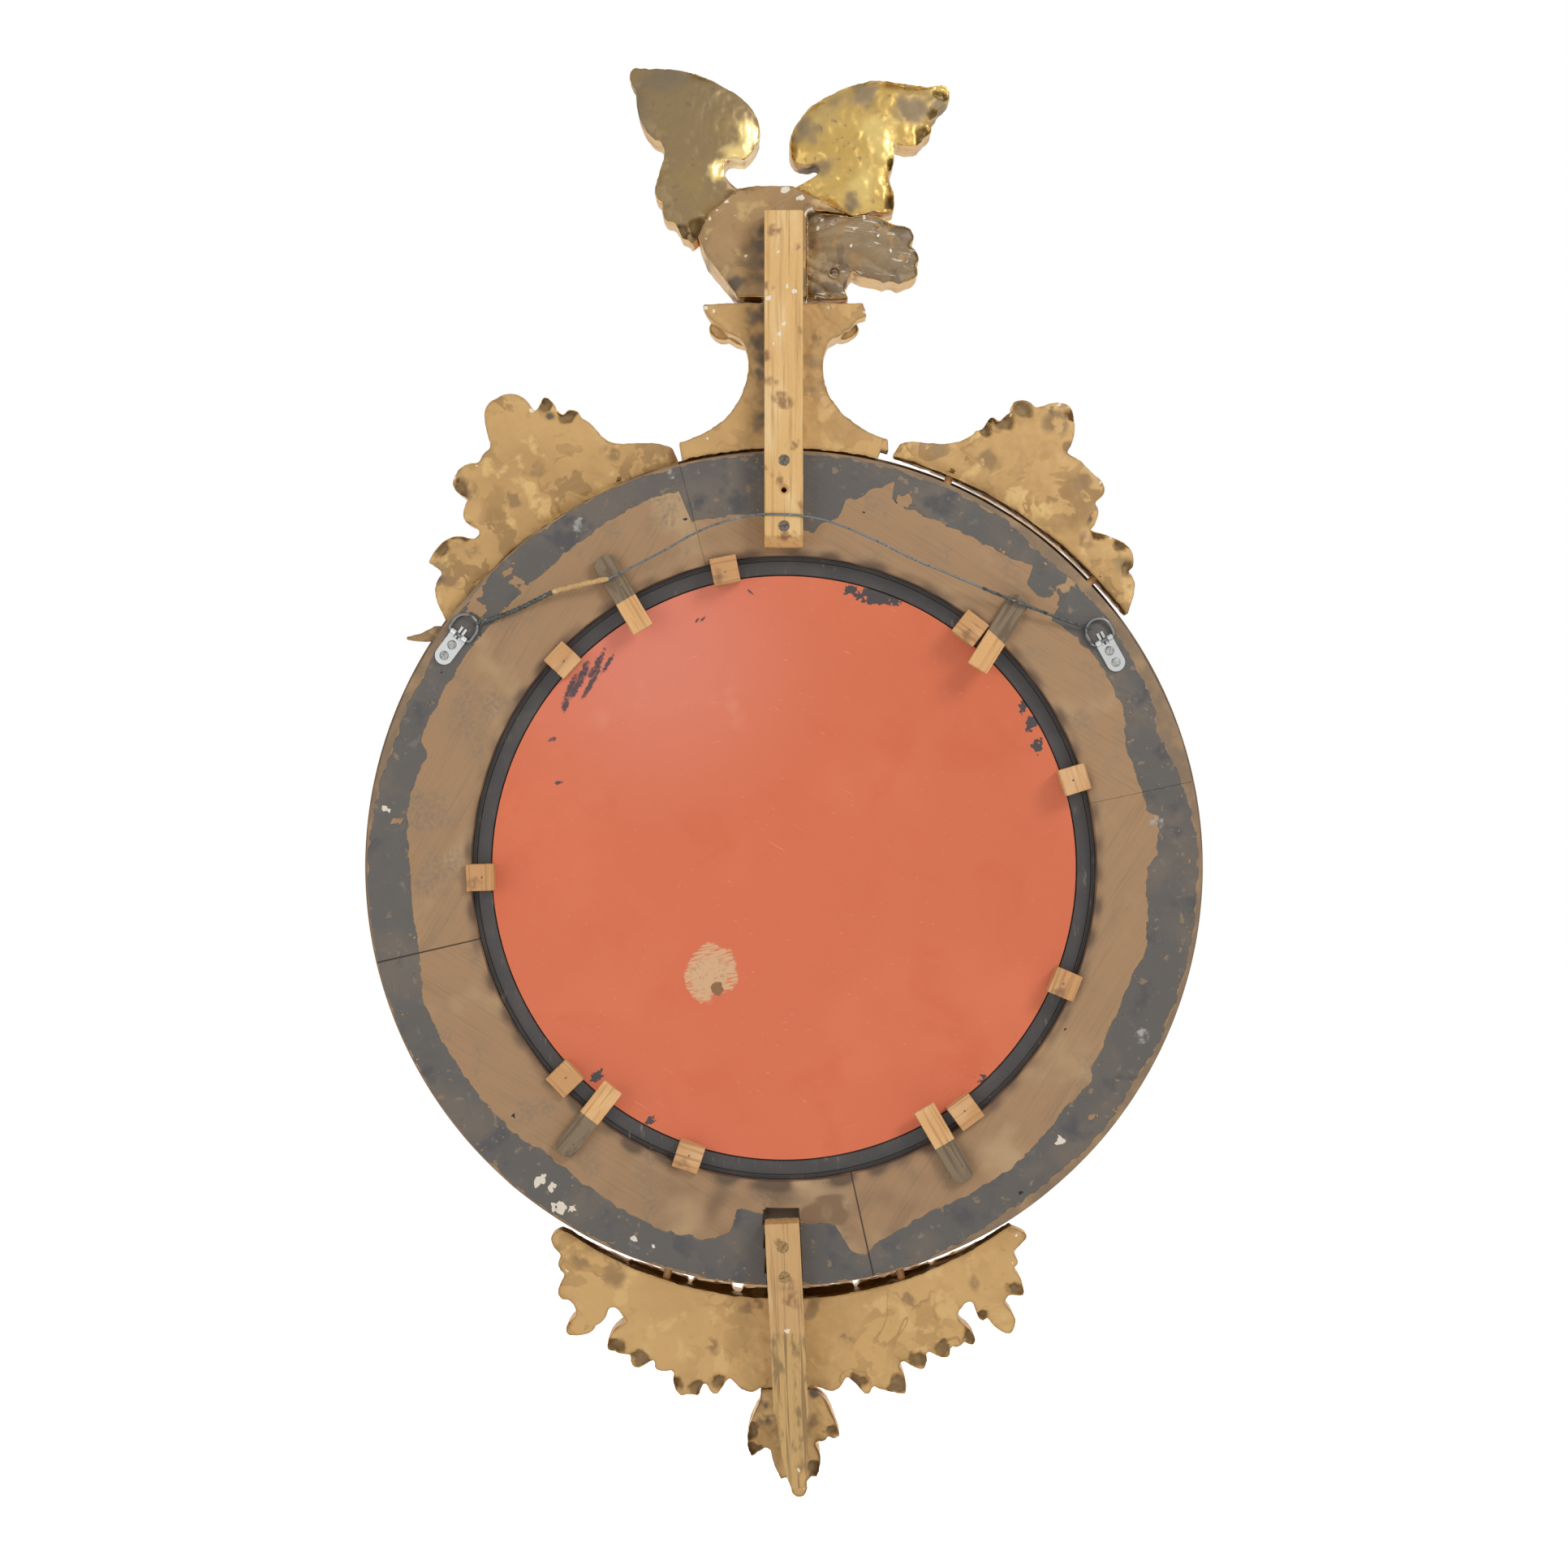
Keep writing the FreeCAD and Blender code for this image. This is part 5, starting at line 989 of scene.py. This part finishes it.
def band_ties():
    """Crossed ribbons carved round the reeded band, in pairs that lean either way."""
    sizes = {"Ties": 12, "Ring radius": BAND_RADIUS * MM, "Band": 8.2 * MM, "Ribbon": 2.4 * MM,
             "Depth": BAND_DEPTH * MM, "Lean": math.radians(28)}
    tree, given = tree_with("ribbons_round_the_band", sizes)
    circle = add(tree, "GeometryNodeCurvePrimitiveCircle", {"Resolution": 48, "Radius": given["Band"]})
    strip = add(tree, "GeometryNodeCurvePrimitiveQuadrilateral", {"Height": given["Ribbon"]})
    strip.inputs[0].default_value = 1.0 * MM
    tree.links.new(given["Ribbon"], strip.inputs[1])
    loop = add(tree, "GeometryNodeCurveToMesh", {0: circle.outputs[0], 1: strip.outputs[0]})
    both = add(tree, "GeometryNodeJoinGeometry")
    for side in (1, -1):
        lean = add(tree, "ShaderNodeMath", {0: given["Lean"], 1: float(side)}, operation="MULTIPLY")
        turn = add(tree, "ShaderNodeCombineXYZ", {"X": math.radians(90), "Y": 0.0, "Z": lean.outputs[0]})
        leaned = add(tree, "GeometryNodeTransform", {"Geometry": loop.outputs[0], "Rotation": turn.outputs[0]})
        tree.links.new(leaned.outputs[0], both.inputs[0])
    round_it = {"Resolution": given["Ties"], "Radius": given["Ring radius"]}
    ring = add(tree, "GeometryNodeCurvePrimitiveCircle", round_it)
    points = add(tree, "GeometryNodeCurveToPoints", {0: ring.outputs[0], "Count": given["Ties"]})
    ties = add(tree, "GeometryNodeInstanceOnPoints", {
        "Points": points.outputs[0], "Instance": both.outputs[0], "Rotation": points.outputs["Rotation"]})
    real = add(tree, "GeometryNodeRealizeInstances", {0: ties.outputs[0]})
    stood = stood_up(tree, real.outputs[0], given["Depth"])
    put("band_ribbons", grown(tree, stood, GILDING, sizes), GILDING, "mirror")


def reeded_band():
    """A round band worked into reeds, with bare wood, darkened as painted shade, on the side that faces the wall.
    """
    section = []
    for t in np.linspace(0, math.tau, 140, endpoint=False):
        reach = 9.0 - 0.9 * (1 - abs(math.sin(REEDS / 2 * t))) ** 1.5
        section.append((BAND_RADIUS + reach * math.cos(t), BAND_DEPTH + reach * math.sin(t)))
    band = turned("reeded_band", section, GILDING, "reeded_outer_band", 420, 60)
    normals = vertices(band.data)[1]
    # The side that faces the wall is kept dark brown, as bare wood and painted shade.
    store(band.data, "bare", smooth_step(normals[:, 1], 0.2, 0.6))


cove_balls()
reeded_band()
band_ties()


# ---------------------------------------------------------------- carving

def fan(x, z, focus, blades, rows, reach, skew=0.0):
    """Height from 0 to 1 of overlapping blades, as feathers or leaf lobes, that spread from a focus in rows."""
    dx, dz = x - focus[0], z - focus[1]
    away = np.hypot(dx, dz)
    turn = np.arctan2(dx, dz) + skew * away / reach
    row = np.floor(away / reach * rows)
    along = away / reach * rows - row
    blade = turn / math.tau * blades * (1 + 0.35 * np.minimum(row, 5)) + 0.5 * (row % 2)
    across = blade - np.floor(blade) - 0.5
    tip = 1 - 1.5 * across ** 2
    on = smooth_step(tip - along, -0.03, 0.12)
    crown = 0.45 + 0.55 * along - 1.3 * across ** 2
    quill = 0.16 * np.exp(-((across / 0.05) ** 2))
    return np.clip(on * (crown + quill) + (1 - on) * 0.12, 0, 1.1)


def flutes(x, z, focus, count, wander=0.0):
    """Height from 0 to 1 of plain rounded flutes that spread from a focus."""
    turn = np.arctan2(x - focus[0], z - focus[1])
    away = np.hypot(x - focus[0], z - focus[1])
    return np.abs(np.cos(turn * count / 2 + wander * np.sin(away / 14))) ** 0.6


def beside_ring(points, radius, depth, slits):
    """The points of the edge that faces the ring, past this depth, brought to this radius. The edge stays where
    it is at the slits, which are given as two angles."""
    x, z = points[:, 0], points[:, 2] - RING_HEIGHT
    away, angle = np.hypot(x, z), np.degrees(np.arctan2(x, z)) % 360
    past = smooth_step(-points[:, 1], depth, depth + 3)
    columns_in_a_degree = 2
    nearest = np.full(360 * columns_in_a_degree + 1, np.inf)
    column = np.round(angle * columns_in_a_degree).astype(int)
    np.minimum.at(nearest, column[past > 0.5], away[past > 0.5])
    edge = np.where(np.isfinite(nearest[column]), nearest[column], radius)
    share = past * (1 - smooth_step(away - edge, 1.0, 7.0))
    soft = 0.2
    for start, end in slits:
        share *= 1 - smooth_step(angle, start - soft, start) * (1 - smooth_step(angle, end, end + soft))
    goal = radius + 0.4 * np.abs(unevenness(points, 14, 7))
    pull = np.maximum(edge - goal, 0) * share
    out = np.stack([x / away, 0 * x, z / away], 1)
    return points - out * pull[:, None]


CHAMFER_WIDTH = 11  # how far in from its outline the back of a carving is chamfered
LOW_SPOT = 7.0  # how deep the deepest gouged places of a back are
SHADED_EDGE = 3.5  # how far in from its outline the back is darkened as painted shade


def carved(name, node, material, seed, grain=1.7, front=None, front_cut=5.0, back=None, back_cut=1.0,
           round_back=4.0, marks=None, brought=None):
    """A carved piece: the node's solid with eased edges, relief cut in its front, and tool marks on its back.
    front and back give the height of the relief, from 0 to 1, at each point. marks are places by name.
    brought is how an edge beside the ring is closed up to it: radius, depth and slits."""
    marks = marks or {}
    mesh = softened(name, node, grain)
    points, normals = vertices(mesh)
    if brought:
        points = beside_ring(points, *brought)
    facing_back = smooth_step(normals[:, 1], 0.25, 0.8)
    facing_front = smooth_step(-normals[:, 1], 0.1, 0.7)
    side = np.where(np.abs(normals[:, 1]) < 0.5)[0]
    tree = KDTree(len(side))
    for i in side:
        tree.insert(points[i], int(i))
    tree.balance()
    inwards = np.array([tree.find(p)[2] for p in points])
    x, z = points[:, 0], points[:, 2]
    relief = front(x, z) if front else np.ones(len(points))
    cut = front_cut * (1 - relief) * facing_front * smooth_step(inwards, 0.0, 4.0)
    marked = back(x, z) if back else np.ones(len(points))
    cut += back_cut * (1 - marked) * facing_back
    # The back is chamfered towards the outline, here more and there less
    lean = 0.6 + 0.4 * unevenness(points, 48, seed)
    chamfer = round_back * np.clip(lean, 0.1, 1.3) * (1 - smooth_step(inwards, 0, CHAMFER_WIDTH)) * facing_back
    low = spots(points, marks.get("low", ()))
    chamfer += LOW_SPOT * low * facing_back
    wave = 0.35 * unevenness(points, 26, seed + 1) + 0.16 * unevenness(points, 8, seed + 2)
    moved = points - normals * (cut + np.abs(wave))[:, None]
    moved[:, 1] -= chamfer
    move(mesh, moved)
    store(mesh, "back", facing_back)
    store(mesh, "low", low * facing_back)
    store(mesh, "hollow", np.clip((1 - relief) * facing_front * 1.2 + (1 - marked) * facing_back * 0.8, 0, 1))
    store(mesh, "ridge", relief * facing_front)
    for label in ("stain", "dust", "dark", "chip", "bright"):
        values = spots(points, marks.get(label, ()), -0.3)
        # Painted shade: the back is darkened along its outline.
        if label == "dark":
            values = np.maximum(values, 0.5 * (1 - smooth_step(inwards, 0, SHADED_EDGE)) * facing_back)
        store(mesh, label, np.clip(values, 0, 1))
    put(name, mesh, material, "mirror", [node])


def bracket_marks(turn, radius, **marks):
    """Marks given in a side bracket's own drawing, at their places on the object."""
    return {label: [on_ring(t, n, turn, radius) + (r,) for t, n, r in rows] for label, rows in marks.items()}


def marks_above(datum, **marks):
    """Marks whose heights are given above a datum, at their heights on the object."""
    return {label: [(x, datum + up, r) for x, up, r in rows] for label, rows in marks.items()}


LEAF_TURN = 35  # where the side brackets stand, in degrees either way from the top
# Where light comes through between the ring and the apron, as angles from the top towards +X
SLITS = ((152.5, 158.5), (167, 167.5), (173.2, 174.3), (189.5, 190), (200.2, 200.7), (204, 205.2))


def crest():
    """The plinth board, the rockwork and the eagle: trunk, head, feet, two wings and tail."""
    carved(
        "plinth", "crest_plinth", CARVED, 21, 1.5, round_back=1.2, brought=(373.6, 20, [(338, 347)]),
        marks=marks_above(
            CREST,
            stain=[(33, 110, 9), (-36, 60, 16), (-30, 100, 12), (60, 24, 14), (-66, 22, 16)],
            dust=[(-24, 72, 13), (-26, 50, 12)],
            chip=[(70, 124, 5), (62, 122, 4), (-72, 120, 4), (-40, 126, 4), (-62, 114, 2.6), (68, 8, 3)],
            # Painted shadow of the upper batten, in a column beside it.
            dark=[(17, up, 17) for up in range(124, 27, -12)],
        ))
    carved(
        "rocks", "rockwork", CARVED, 22, 2.0,
        front=lambda x, z: 0.5 + 0.5 * np.cos(x / 6.5) * np.cos(z / 5.0 + x / 17))
    carved(
        "eagle_trunk", "eagle_body", DULL_CARVED, 23, 1.7, round_back=3.5, front_cut=3.2,
        front=lambda x, z: fan(x, z, (18, CREST + 262), 34, 7, 130),
        marks=marks_above(
            CREST,
            stain=[(58, 190, 22), (30, 176, 20), (48, 160, 14)],
            # Painted shadow of the upper batten down the trunk, and a darker lower edge.
            dark=[(24, 150, 24), (22, 164, 22), (22, 178, 18), (20, 192, 14), (-14, 146, 16), (40, 146, 16)],
            chip=[
                (66, 205, 5), (60, 212, 5), (52, 219, 6), (40, 226, 4), (0, 228, 7), (-14, 222, 8), (-24, 209, 9),
                (34, 170, 3), (70, 186, 3.4), (44, 206, 2.6),
            ],
            dust=[(66, 172, 12)],
        ))
    carved(
        "eagle_crown", "eagle_head", DULL_CARVED, 24, 1.0, front_cut=0.8, round_back=0.5,
        front=lambda x, z: fan(x, z, (x.mean(), z.max()), 30, 6, 34))
    carved(
        "eagle_claws", "eagle_feet", CARVED, 25, 0.8, front_cut=0.8, round_back=0.3,
        front=lambda x, z: np.abs(np.cos(x / 2.4)) ** 0.5)
    carved(
        "wing_right", "eagle_wing_right", WING_SATIN, 26, 1.6, front_cut=4.5, back_cut=1.0, round_back=3.0,
        front=lambda x, z: fan(x, z, (14, CREST + 262), 44, 5, 140, 0.5),
        back=lambda x, z: 0.85 + 0.15 * flutes(x, z, (10, CREST + 300), 12, 0.8),
        marks=marks_above(
            CREST,
            dust=[(132, 322, 36), (104, 336, 26)],
            # Painted highlights where the wing's curl catches the light.
            bright=[(33, 284, 19), (37, 264, 22), (50, 250, 17), (62, 244, 12)],
            low=[(76, 196, 10), (92, 192, 9)],
            dark=[(74, 196, 5)],
            chip=[(60, 212, 3.4), (74, 196, 3), (112, 224, 2.4), (98, 196, 2.4)],
        ))
    carved(
        "wing_left", "eagle_wing_left", WING_BRIGHT, 27, 1.6, front_cut=4.5, back_cut=1.4, round_back=4.0,
        front=lambda x, z: fan(x, z, (-10, CREST + 252), 44, 5, 150, -0.5),
        back=lambda x, z: 0.5 + 0.5 * flutes(x, z, (-6, CREST + 236), 15, 1.4),
        marks=marks_above(
            CREST,
            low=[(-136, 296, 9), (-122, 276, 11), (-98, 252, 7), (-96, 222, 8), (-140, 318, 7)],
            dust=[
                (-46, 308, 30), (-70, 318, 22), (-18, 284, 24), (-28, 254, 22), (-120, 304, 26), (-142, 308, 18),
                (-60, 222, 14),
            ],
            # Painted highlights where the wing's curl catches the light.
            bright=[(-84, 278, 28), (-76, 238, 24), (-98, 290, 16)],
            chip=[(-66, 210, 4), (-78, 212, 3), (-28, 214, 9), (-42, 216, 5), (-20, 230, 4)],
        ))
    carved(
        "tail_feathers", "eagle_tail", TAIL_GREY, 28, 1.3, front_cut=4.0, back_cut=3.0, round_back=3.5,
        front=lambda x, z: flutes(x, z, (20, CREST + 196), 26, 0.5),
        back=lambda x, z: flutes(x, z, (10, CREST + 186), 30, 0.9),
        marks=marks_above(
            CREST,
            dark=[(-45, 157, 7), (-56, 146, 7), (-28, 140, 8)],
            chip=[
                (-72, 206, 5), (-52, 208, 5), (-110, 166, 3.4), (-84, 190, 3.6), (-60, 180, 3), (-112, 180, 3.4),
                (-34, 204, 7), (-96, 176, 3), (-30, 196, 4), (-62, 196, 3.4), (-28, 136, 3.6),
            ],
            stain=[(-64, 170, 18), (-40, 186, 16)],
        ))


def side_leaves():
    """The two leaf brackets, whose blades spread from a point inside the ring, and the broken tip."""
    right, left = RING_EDGE + 4.5, RING_EDGE + 10.5
    centre_right = on_ring(0, -10, LEAF_TURN, right)
    centre_left = on_ring(0, -10, -LEAF_TURN, left)
    carved(
        "leaf_right", "leaf_bracket_right", LEAF_BACKS, 31, 1.7, front_cut=7.0, round_back=2.5,
        front=lambda x, z: fan(x, z, centre_right, 30, 3, 125, 0.35),
        marks=bracket_marks(
            LEAF_TURN, right,
            stain=[(33, 66, 16), (-28, 45, 14), (10, 30, 12), (70, 18, 18), (-90, 16, 16), (96, 6, 14)],
            low=[(62, 36, 11), (74, 35, 9), (88, 33, 9), (-74, 66, 9), (-63, 88, 9), (44, 68, 9), (18, 92, 9)],
            dust=[(104, 22, 16), (-116, 6, 12)],
            dark=[(-60, 74, 5), (104, 12, 8)],
            chip=[(-50, 88, 4.2), (42, 79, 3.6), (-2, 86, 3.6), (-100, 14, 3), (-80, 60, 3), (18, 76, 3)],
        ))
    carved(
        "leaf_left", "leaf_bracket_left", LEAF_BACKS, 32, 1.7, front_cut=7.0, round_back=2.5,
        front=lambda x, z: fan(x, z, centre_left, 30, 3, 125, -0.35),
        marks=bracket_marks(
            -LEAF_TURN, left,
            stain=[(30, 86, 18), (-18, 50, 14), (-50, 12, 14), (60, 20, 16), (-84, 16, 16), (8, 70, 12)],
            low=[(66, 58, 10), (60, 76, 9), (77, 44, 8), (-60, 24, 8), (-80, 26, 9), (-98, 12, 7), (20, 98, 7)],
            dust=[(-96, 14, 14), (104, 4, 12)],
            dark=[(40, 92, 6), (-46, 30, 5)],
            chip=[(36, 98, 3.4), (28, 101, 3), (-34, 62, 3.6), (-70, 26, 3), (66, 66, 3)],
        ))
    carved("broken_tip", "broken_leaf_tip", DULL_CARVED, 33, 0.7, round_back=0.6, front_cut=1.0)


def apron():
    """The leafy board under the ring and the drop that hangs from its middle."""
    carved(
        "apron_leaves", "apron", CARVED, 34, 1.8, front_cut=7.0, round_back=2.5,
        brought=(380.6, RING_FRONT, SLITS),
        front=lambda x, z: fan(x, z, (0, FOOT + 60), 52, 4, 250),
        marks=marks_above(
            FOOT,
            stain=[
                (150, 10, 20), (64, -46, 12), (-54, -40, 10), (-170, 6, 16), (184, 30, 14), (26, -10, 14),
                (-26, -10, 14), (-110, -6, 10),
            ],
            low=[
                (199, -30, 9), (150, -46, 10), (128, -58, 9), (98, -82, 10), (78, -84, 8), (60, -80, 8),
                (-66, -80, 8), (-104, -82, 11), (-120, -60, 9), (-142, -50, 8), (-166, -38, 9), (-178, -20, 6),
                (-206, 2, 8),
            ],
            dust=[(94, -84, 10), (-100, -84, 10)],
            # Painted shadow of the lower batten, on either side of it.
            dark=[(22, -90, 8), (-30, -92, 8)],
            chip=[(205, 50, 3.6), (-208, 52, 3.6), (194, 20, 3), (-204, 26, 3)],
        ))
    carved(
        "pendant", "pendant_drop", CARVED, 35, 1.3, front_cut=4.5, round_back=3.0,
        front=lambda x, z: fan(x, z, (-4, FOOT - 78), 26, 3, 100),
        marks=marks_above(
            FOOT,
            low=[(31, -124, 10), (28, -142, 9), (-42, -122, 8), (-26, -158, 8)],
            # Painted shadow of the lower batten, on either side of it.
            dark=[(24, -88, 9), (-26, -88, 9), (16, -100, 9), (14, -114, 8)],
            stain=[(-26, -116, 14), (28, -118, 12)],
            dust=[(16, -160, 10), (-20, -150, 9)],
            chip=[(-18, -176, 3), (10, -160, 3), (-46, -130, 2.6)],
        ))


crest()
side_leaves()
apron()


# ---------------------------------------------------------------- battens, clips and blocks

def planed(name, node, material, seed, grain, turn, marks=None, weathered=None, hollow=None):
    """A strip or block of pine with its edges worn. Its grain runs along it, turned from straight up towards +X.
    weathered gives how grey it is, and hollow how much painted shade it gets, from 0 to 1, at each point."""
    marks = marks or {}
    mesh = softened(name, node, grain)
    points, normals = vertices(mesh)
    t = math.radians(turn)
    along = points[:, 0] * math.sin(t) + points[:, 2] * math.cos(t)
    across = points[:, 0] * math.cos(t) - points[:, 2] * math.sin(t)
    board = np.stack([along, across + seed * 7.0, points[:, 1]], 1)
    wave = 0.12 * unevenness(board * [0.3, 1, 1], 12, seed) + 0.08 * unevenness(board, 5, seed + 1)
    move(mesh, points - normals * np.abs(wave)[:, None])
    store(mesh, "grain", board * MM)
    store(mesh, "stain", 0.8 * spots(points, marks.get("stain", ()), 0.0))
    store(mesh, "chip", spots(points, marks.get("chip", ()), -0.3))
    store(mesh, "weathered", weathered(points) if weathered else np.zeros(len(points)))
    store(mesh, "hollow", hollow(points) if hollow else np.zeros(len(points)))
    put(name, mesh, material, "mirror", [node])


def battens():
    """The clean upper strip, and the lower one, which has gone grey where it stands free of the ring."""
    planed("batten_upper", "upper_batten", BATTEN, 41, 1.0, 0.0, marks_above(
        0,
        stain=[
            (3, 100, 12), (12, 118, 10), (-10, 60, 9), (4, 30, 9), (0, -20, 12), (15, 140, 9), (10, 250, 9),
            (-15, 10, 10), (16, 40, 9), (-14, 160, 9), (14, 200, 10), (-12, 236, 8),
        ],
        chip=[
            (-3, 200, 5.6), (-9, 196, 4.6), (13, 190, 5.2), (0, 167, 4.4), (4, 158, 3.4), (5, 230, 3),
            (9, 150, 3),
        ],
    ))
    grey_below, shaded_below = FOOT - 28, FOOT - 80
    planed(
        "batten_lower", "lower_batten", GREY_BATTEN, 42, 1.0, BATTEN_LEAN,
        marks_above(
            FOOT,
            stain=[(-4, 12, 13), (-6, 2, 12), (2, 52, 8), (-10, -110, 9), (-12, -140, 8)],
            chip=[(-4, -26, 4.4), (-12, -150, 3.2), (-6, -96, 2.6)],
        ),
        weathered=lambda p: smooth_step(-p[:, 2], -grey_below - 4, -grey_below + 4),
        # Painted shade on the sides of its lower end, where it lies against the pendant.
        hollow=lambda p: 0.8 * smooth_step(-p[:, 1], 12, 26) * (
            1 - smooth_step(p[:, 2], shaded_below - 4, shaded_below + 4)))


# The clips' nodes and how they lean, and the angles at which the glue blocks stand round the ring
CLIPS = (
    ("glass_clip_upper_right", 30.5), ("glass_clip_upper_left", -31.8), ("glass_clip_lower_right", 142),
    ("glass_clip_lower_left", -149.7),
)
BLOCKS = (11.2, 46.7, 91.7, 133.8, 161.7, -143.3, -112.4, -73, -37.8)


def clips_and_blocks():
    """Four long clips, grey beyond the ring's opening, and nine blocks, of which every second one is stained."""
    for i, (node, lean) in enumerate(CLIPS):
        split = OPENING - 2 + 2 * i
        planed(
            node.replace("glass_clip", "clip"), node, CLIP, 50 + i, 0.8, lean,
            weathered=lambda p: smooth_step(np.hypot(p[:, 0], p[:, 2] - RING_HEIGHT), split - 1.5, split + 1.5))
    for i, angle in enumerate(BLOCKS, 1):
        node = f"glue_block_{i}"
        low, high = (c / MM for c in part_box(node))
        middle = (low + high) / 2
        stained = {"stain": [(middle.x + 4, middle.z - 5, 11)]} if i % 2 else None
        planed(f"block_{i}", node, BLOCK, 60 + i, 0.8, angle + 90, stained)


battens()
clips_and_blocks()


# ---------------------------------------------------------------- ironmongery and dowels

# The solids that stay as they are, each with its material
PLAIN_SOLIDS = {
    "hanger_strap_right": STRAP, "hanger_strap_left": STRAP,
    "hanger_screws_right": STRAP_SCREW, "hanger_screws_left": STRAP_SCREW,
    "d_ring_right": RING_STEEL, "d_ring_left": RING_STEEL,
    "wire_eye_right": WIRE_DARK, "wire_eye_left": WIRE_DARK,
    "upper_batten_screws": OLD_STEEL, "lower_batten_screws": BRASS, "clip_brads": OLD_STEEL,
    "bracket_dowels": BLOCK,
}
for node, material in PLAIN_SOLIDS.items():
    nodes[node].data.materials.clear()
    nodes[node].data.materials.append(material)


# ---------------------------------------------------------------- light and floor

def lamp(name, place, aim, size, power, mirrored=True):
    """A round soft lamp aimed at a place, all in metres. The mirrored ones show in the gilding."""
    data = bpy.data.lights.new(name, "AREA")
    data.shape = "DISK"
    data.size = size
    data.energy = power
    made = linked(name, data)
    made.location = place
    made.rotation_euler = (Vector(aim) - Vector(place)).to_track_quat("-Z", "Y").to_euler()
    made.visible_glossy = mirrored


def seen_by_eye(tree):
    """1 for what is seen straight, mirrored or through glass, and 0 for the light that falls on things."""
    rays = add(tree, "ShaderNodeLightPath").outputs
    seen = add(tree, "ShaderNodeMath", {0: rays["Is Camera Ray"], 1: rays["Is Glossy Ray"]}, operation="MAXIMUM")
    both = {0: seen.outputs[0], 1: rays["Is Transmission Ray"]}
    return add(tree, "ShaderNodeMath", both, operation="MAXIMUM").outputs[0]


def lamps():
    """Soft light from the camera's upper right, a weaker fill, and light on the glass side too."""
    middle = (0, 0, -0.3)
    lamp("key", (-1.5, 1.7, 1.1), middle, 0.9, 30)
    lamp("fill", (1.6, 1.9, -0.2), middle, 1.6, 12)
    lamp("front", (0.9, -2.0, 0.9), middle, 1.4, 24, False)


def white_room():
    """A room that looks white and gives a dimmer, slightly blue light."""
    world = bpy.data.worlds.new("white_room")
    world.use_nodes = True
    tree = world.node_tree
    tree.nodes.clear()
    plain = add(tree, "ShaderNodeBackground", {"Color": linear("#F4F6FA"), "Strength": 0.62})
    white = add(tree, "ShaderNodeBackground", {"Color": [1, 1, 1, 1], "Strength": 1.0})
    layers = {0: seen_by_eye(tree), 1: plain.outputs[0], 2: white.outputs[0]}
    mixed = add(tree, "ShaderNodeMixShader", layers)
    add(tree, "ShaderNodeOutputWorld", {0: mixed.outputs[0]})
    bpy.context.scene.world = world


def floor():
    """A wide sheet of white paper on the floor, well below the pendant. It glows a little where it is seen."""
    paper = bpy.data.materials.new("white_paper_floor")
    paper.use_nodes = True
    tree = paper.node_tree
    tree.nodes.clear()
    share = add(tree, "ShaderNodeMath", {0: seen_by_eye(tree), 1: 0.55}, operation="MULTIPLY")
    sheet = add(tree, "ShaderNodeBsdfDiffuse", {"Color": linear("#F6F6F4")})
    glow = add(tree, "ShaderNodeEmission", {"Color": [1, 1, 1, 1], "Strength": share.outputs[0]})
    mixed = add(tree, "ShaderNodeAddShader", {0: sheet.outputs[0], 1: glow.outputs[0]})
    add(tree, "ShaderNodeOutputMaterial", {0: mixed.outputs[0]})
    mesh = bpy.data.meshes.new("floor")
    half, level = 9.0, -1.1  # metres
    corners = [(-half, -half, level), (half, -half, level), (half, half, level), (-half, half, level)]
    mesh.from_pydata(corners, [], [(0, 1, 2, 3)])
    mesh.materials.append(paper)
    linked("floor", mesh)


lamps()
white_room()
floor()
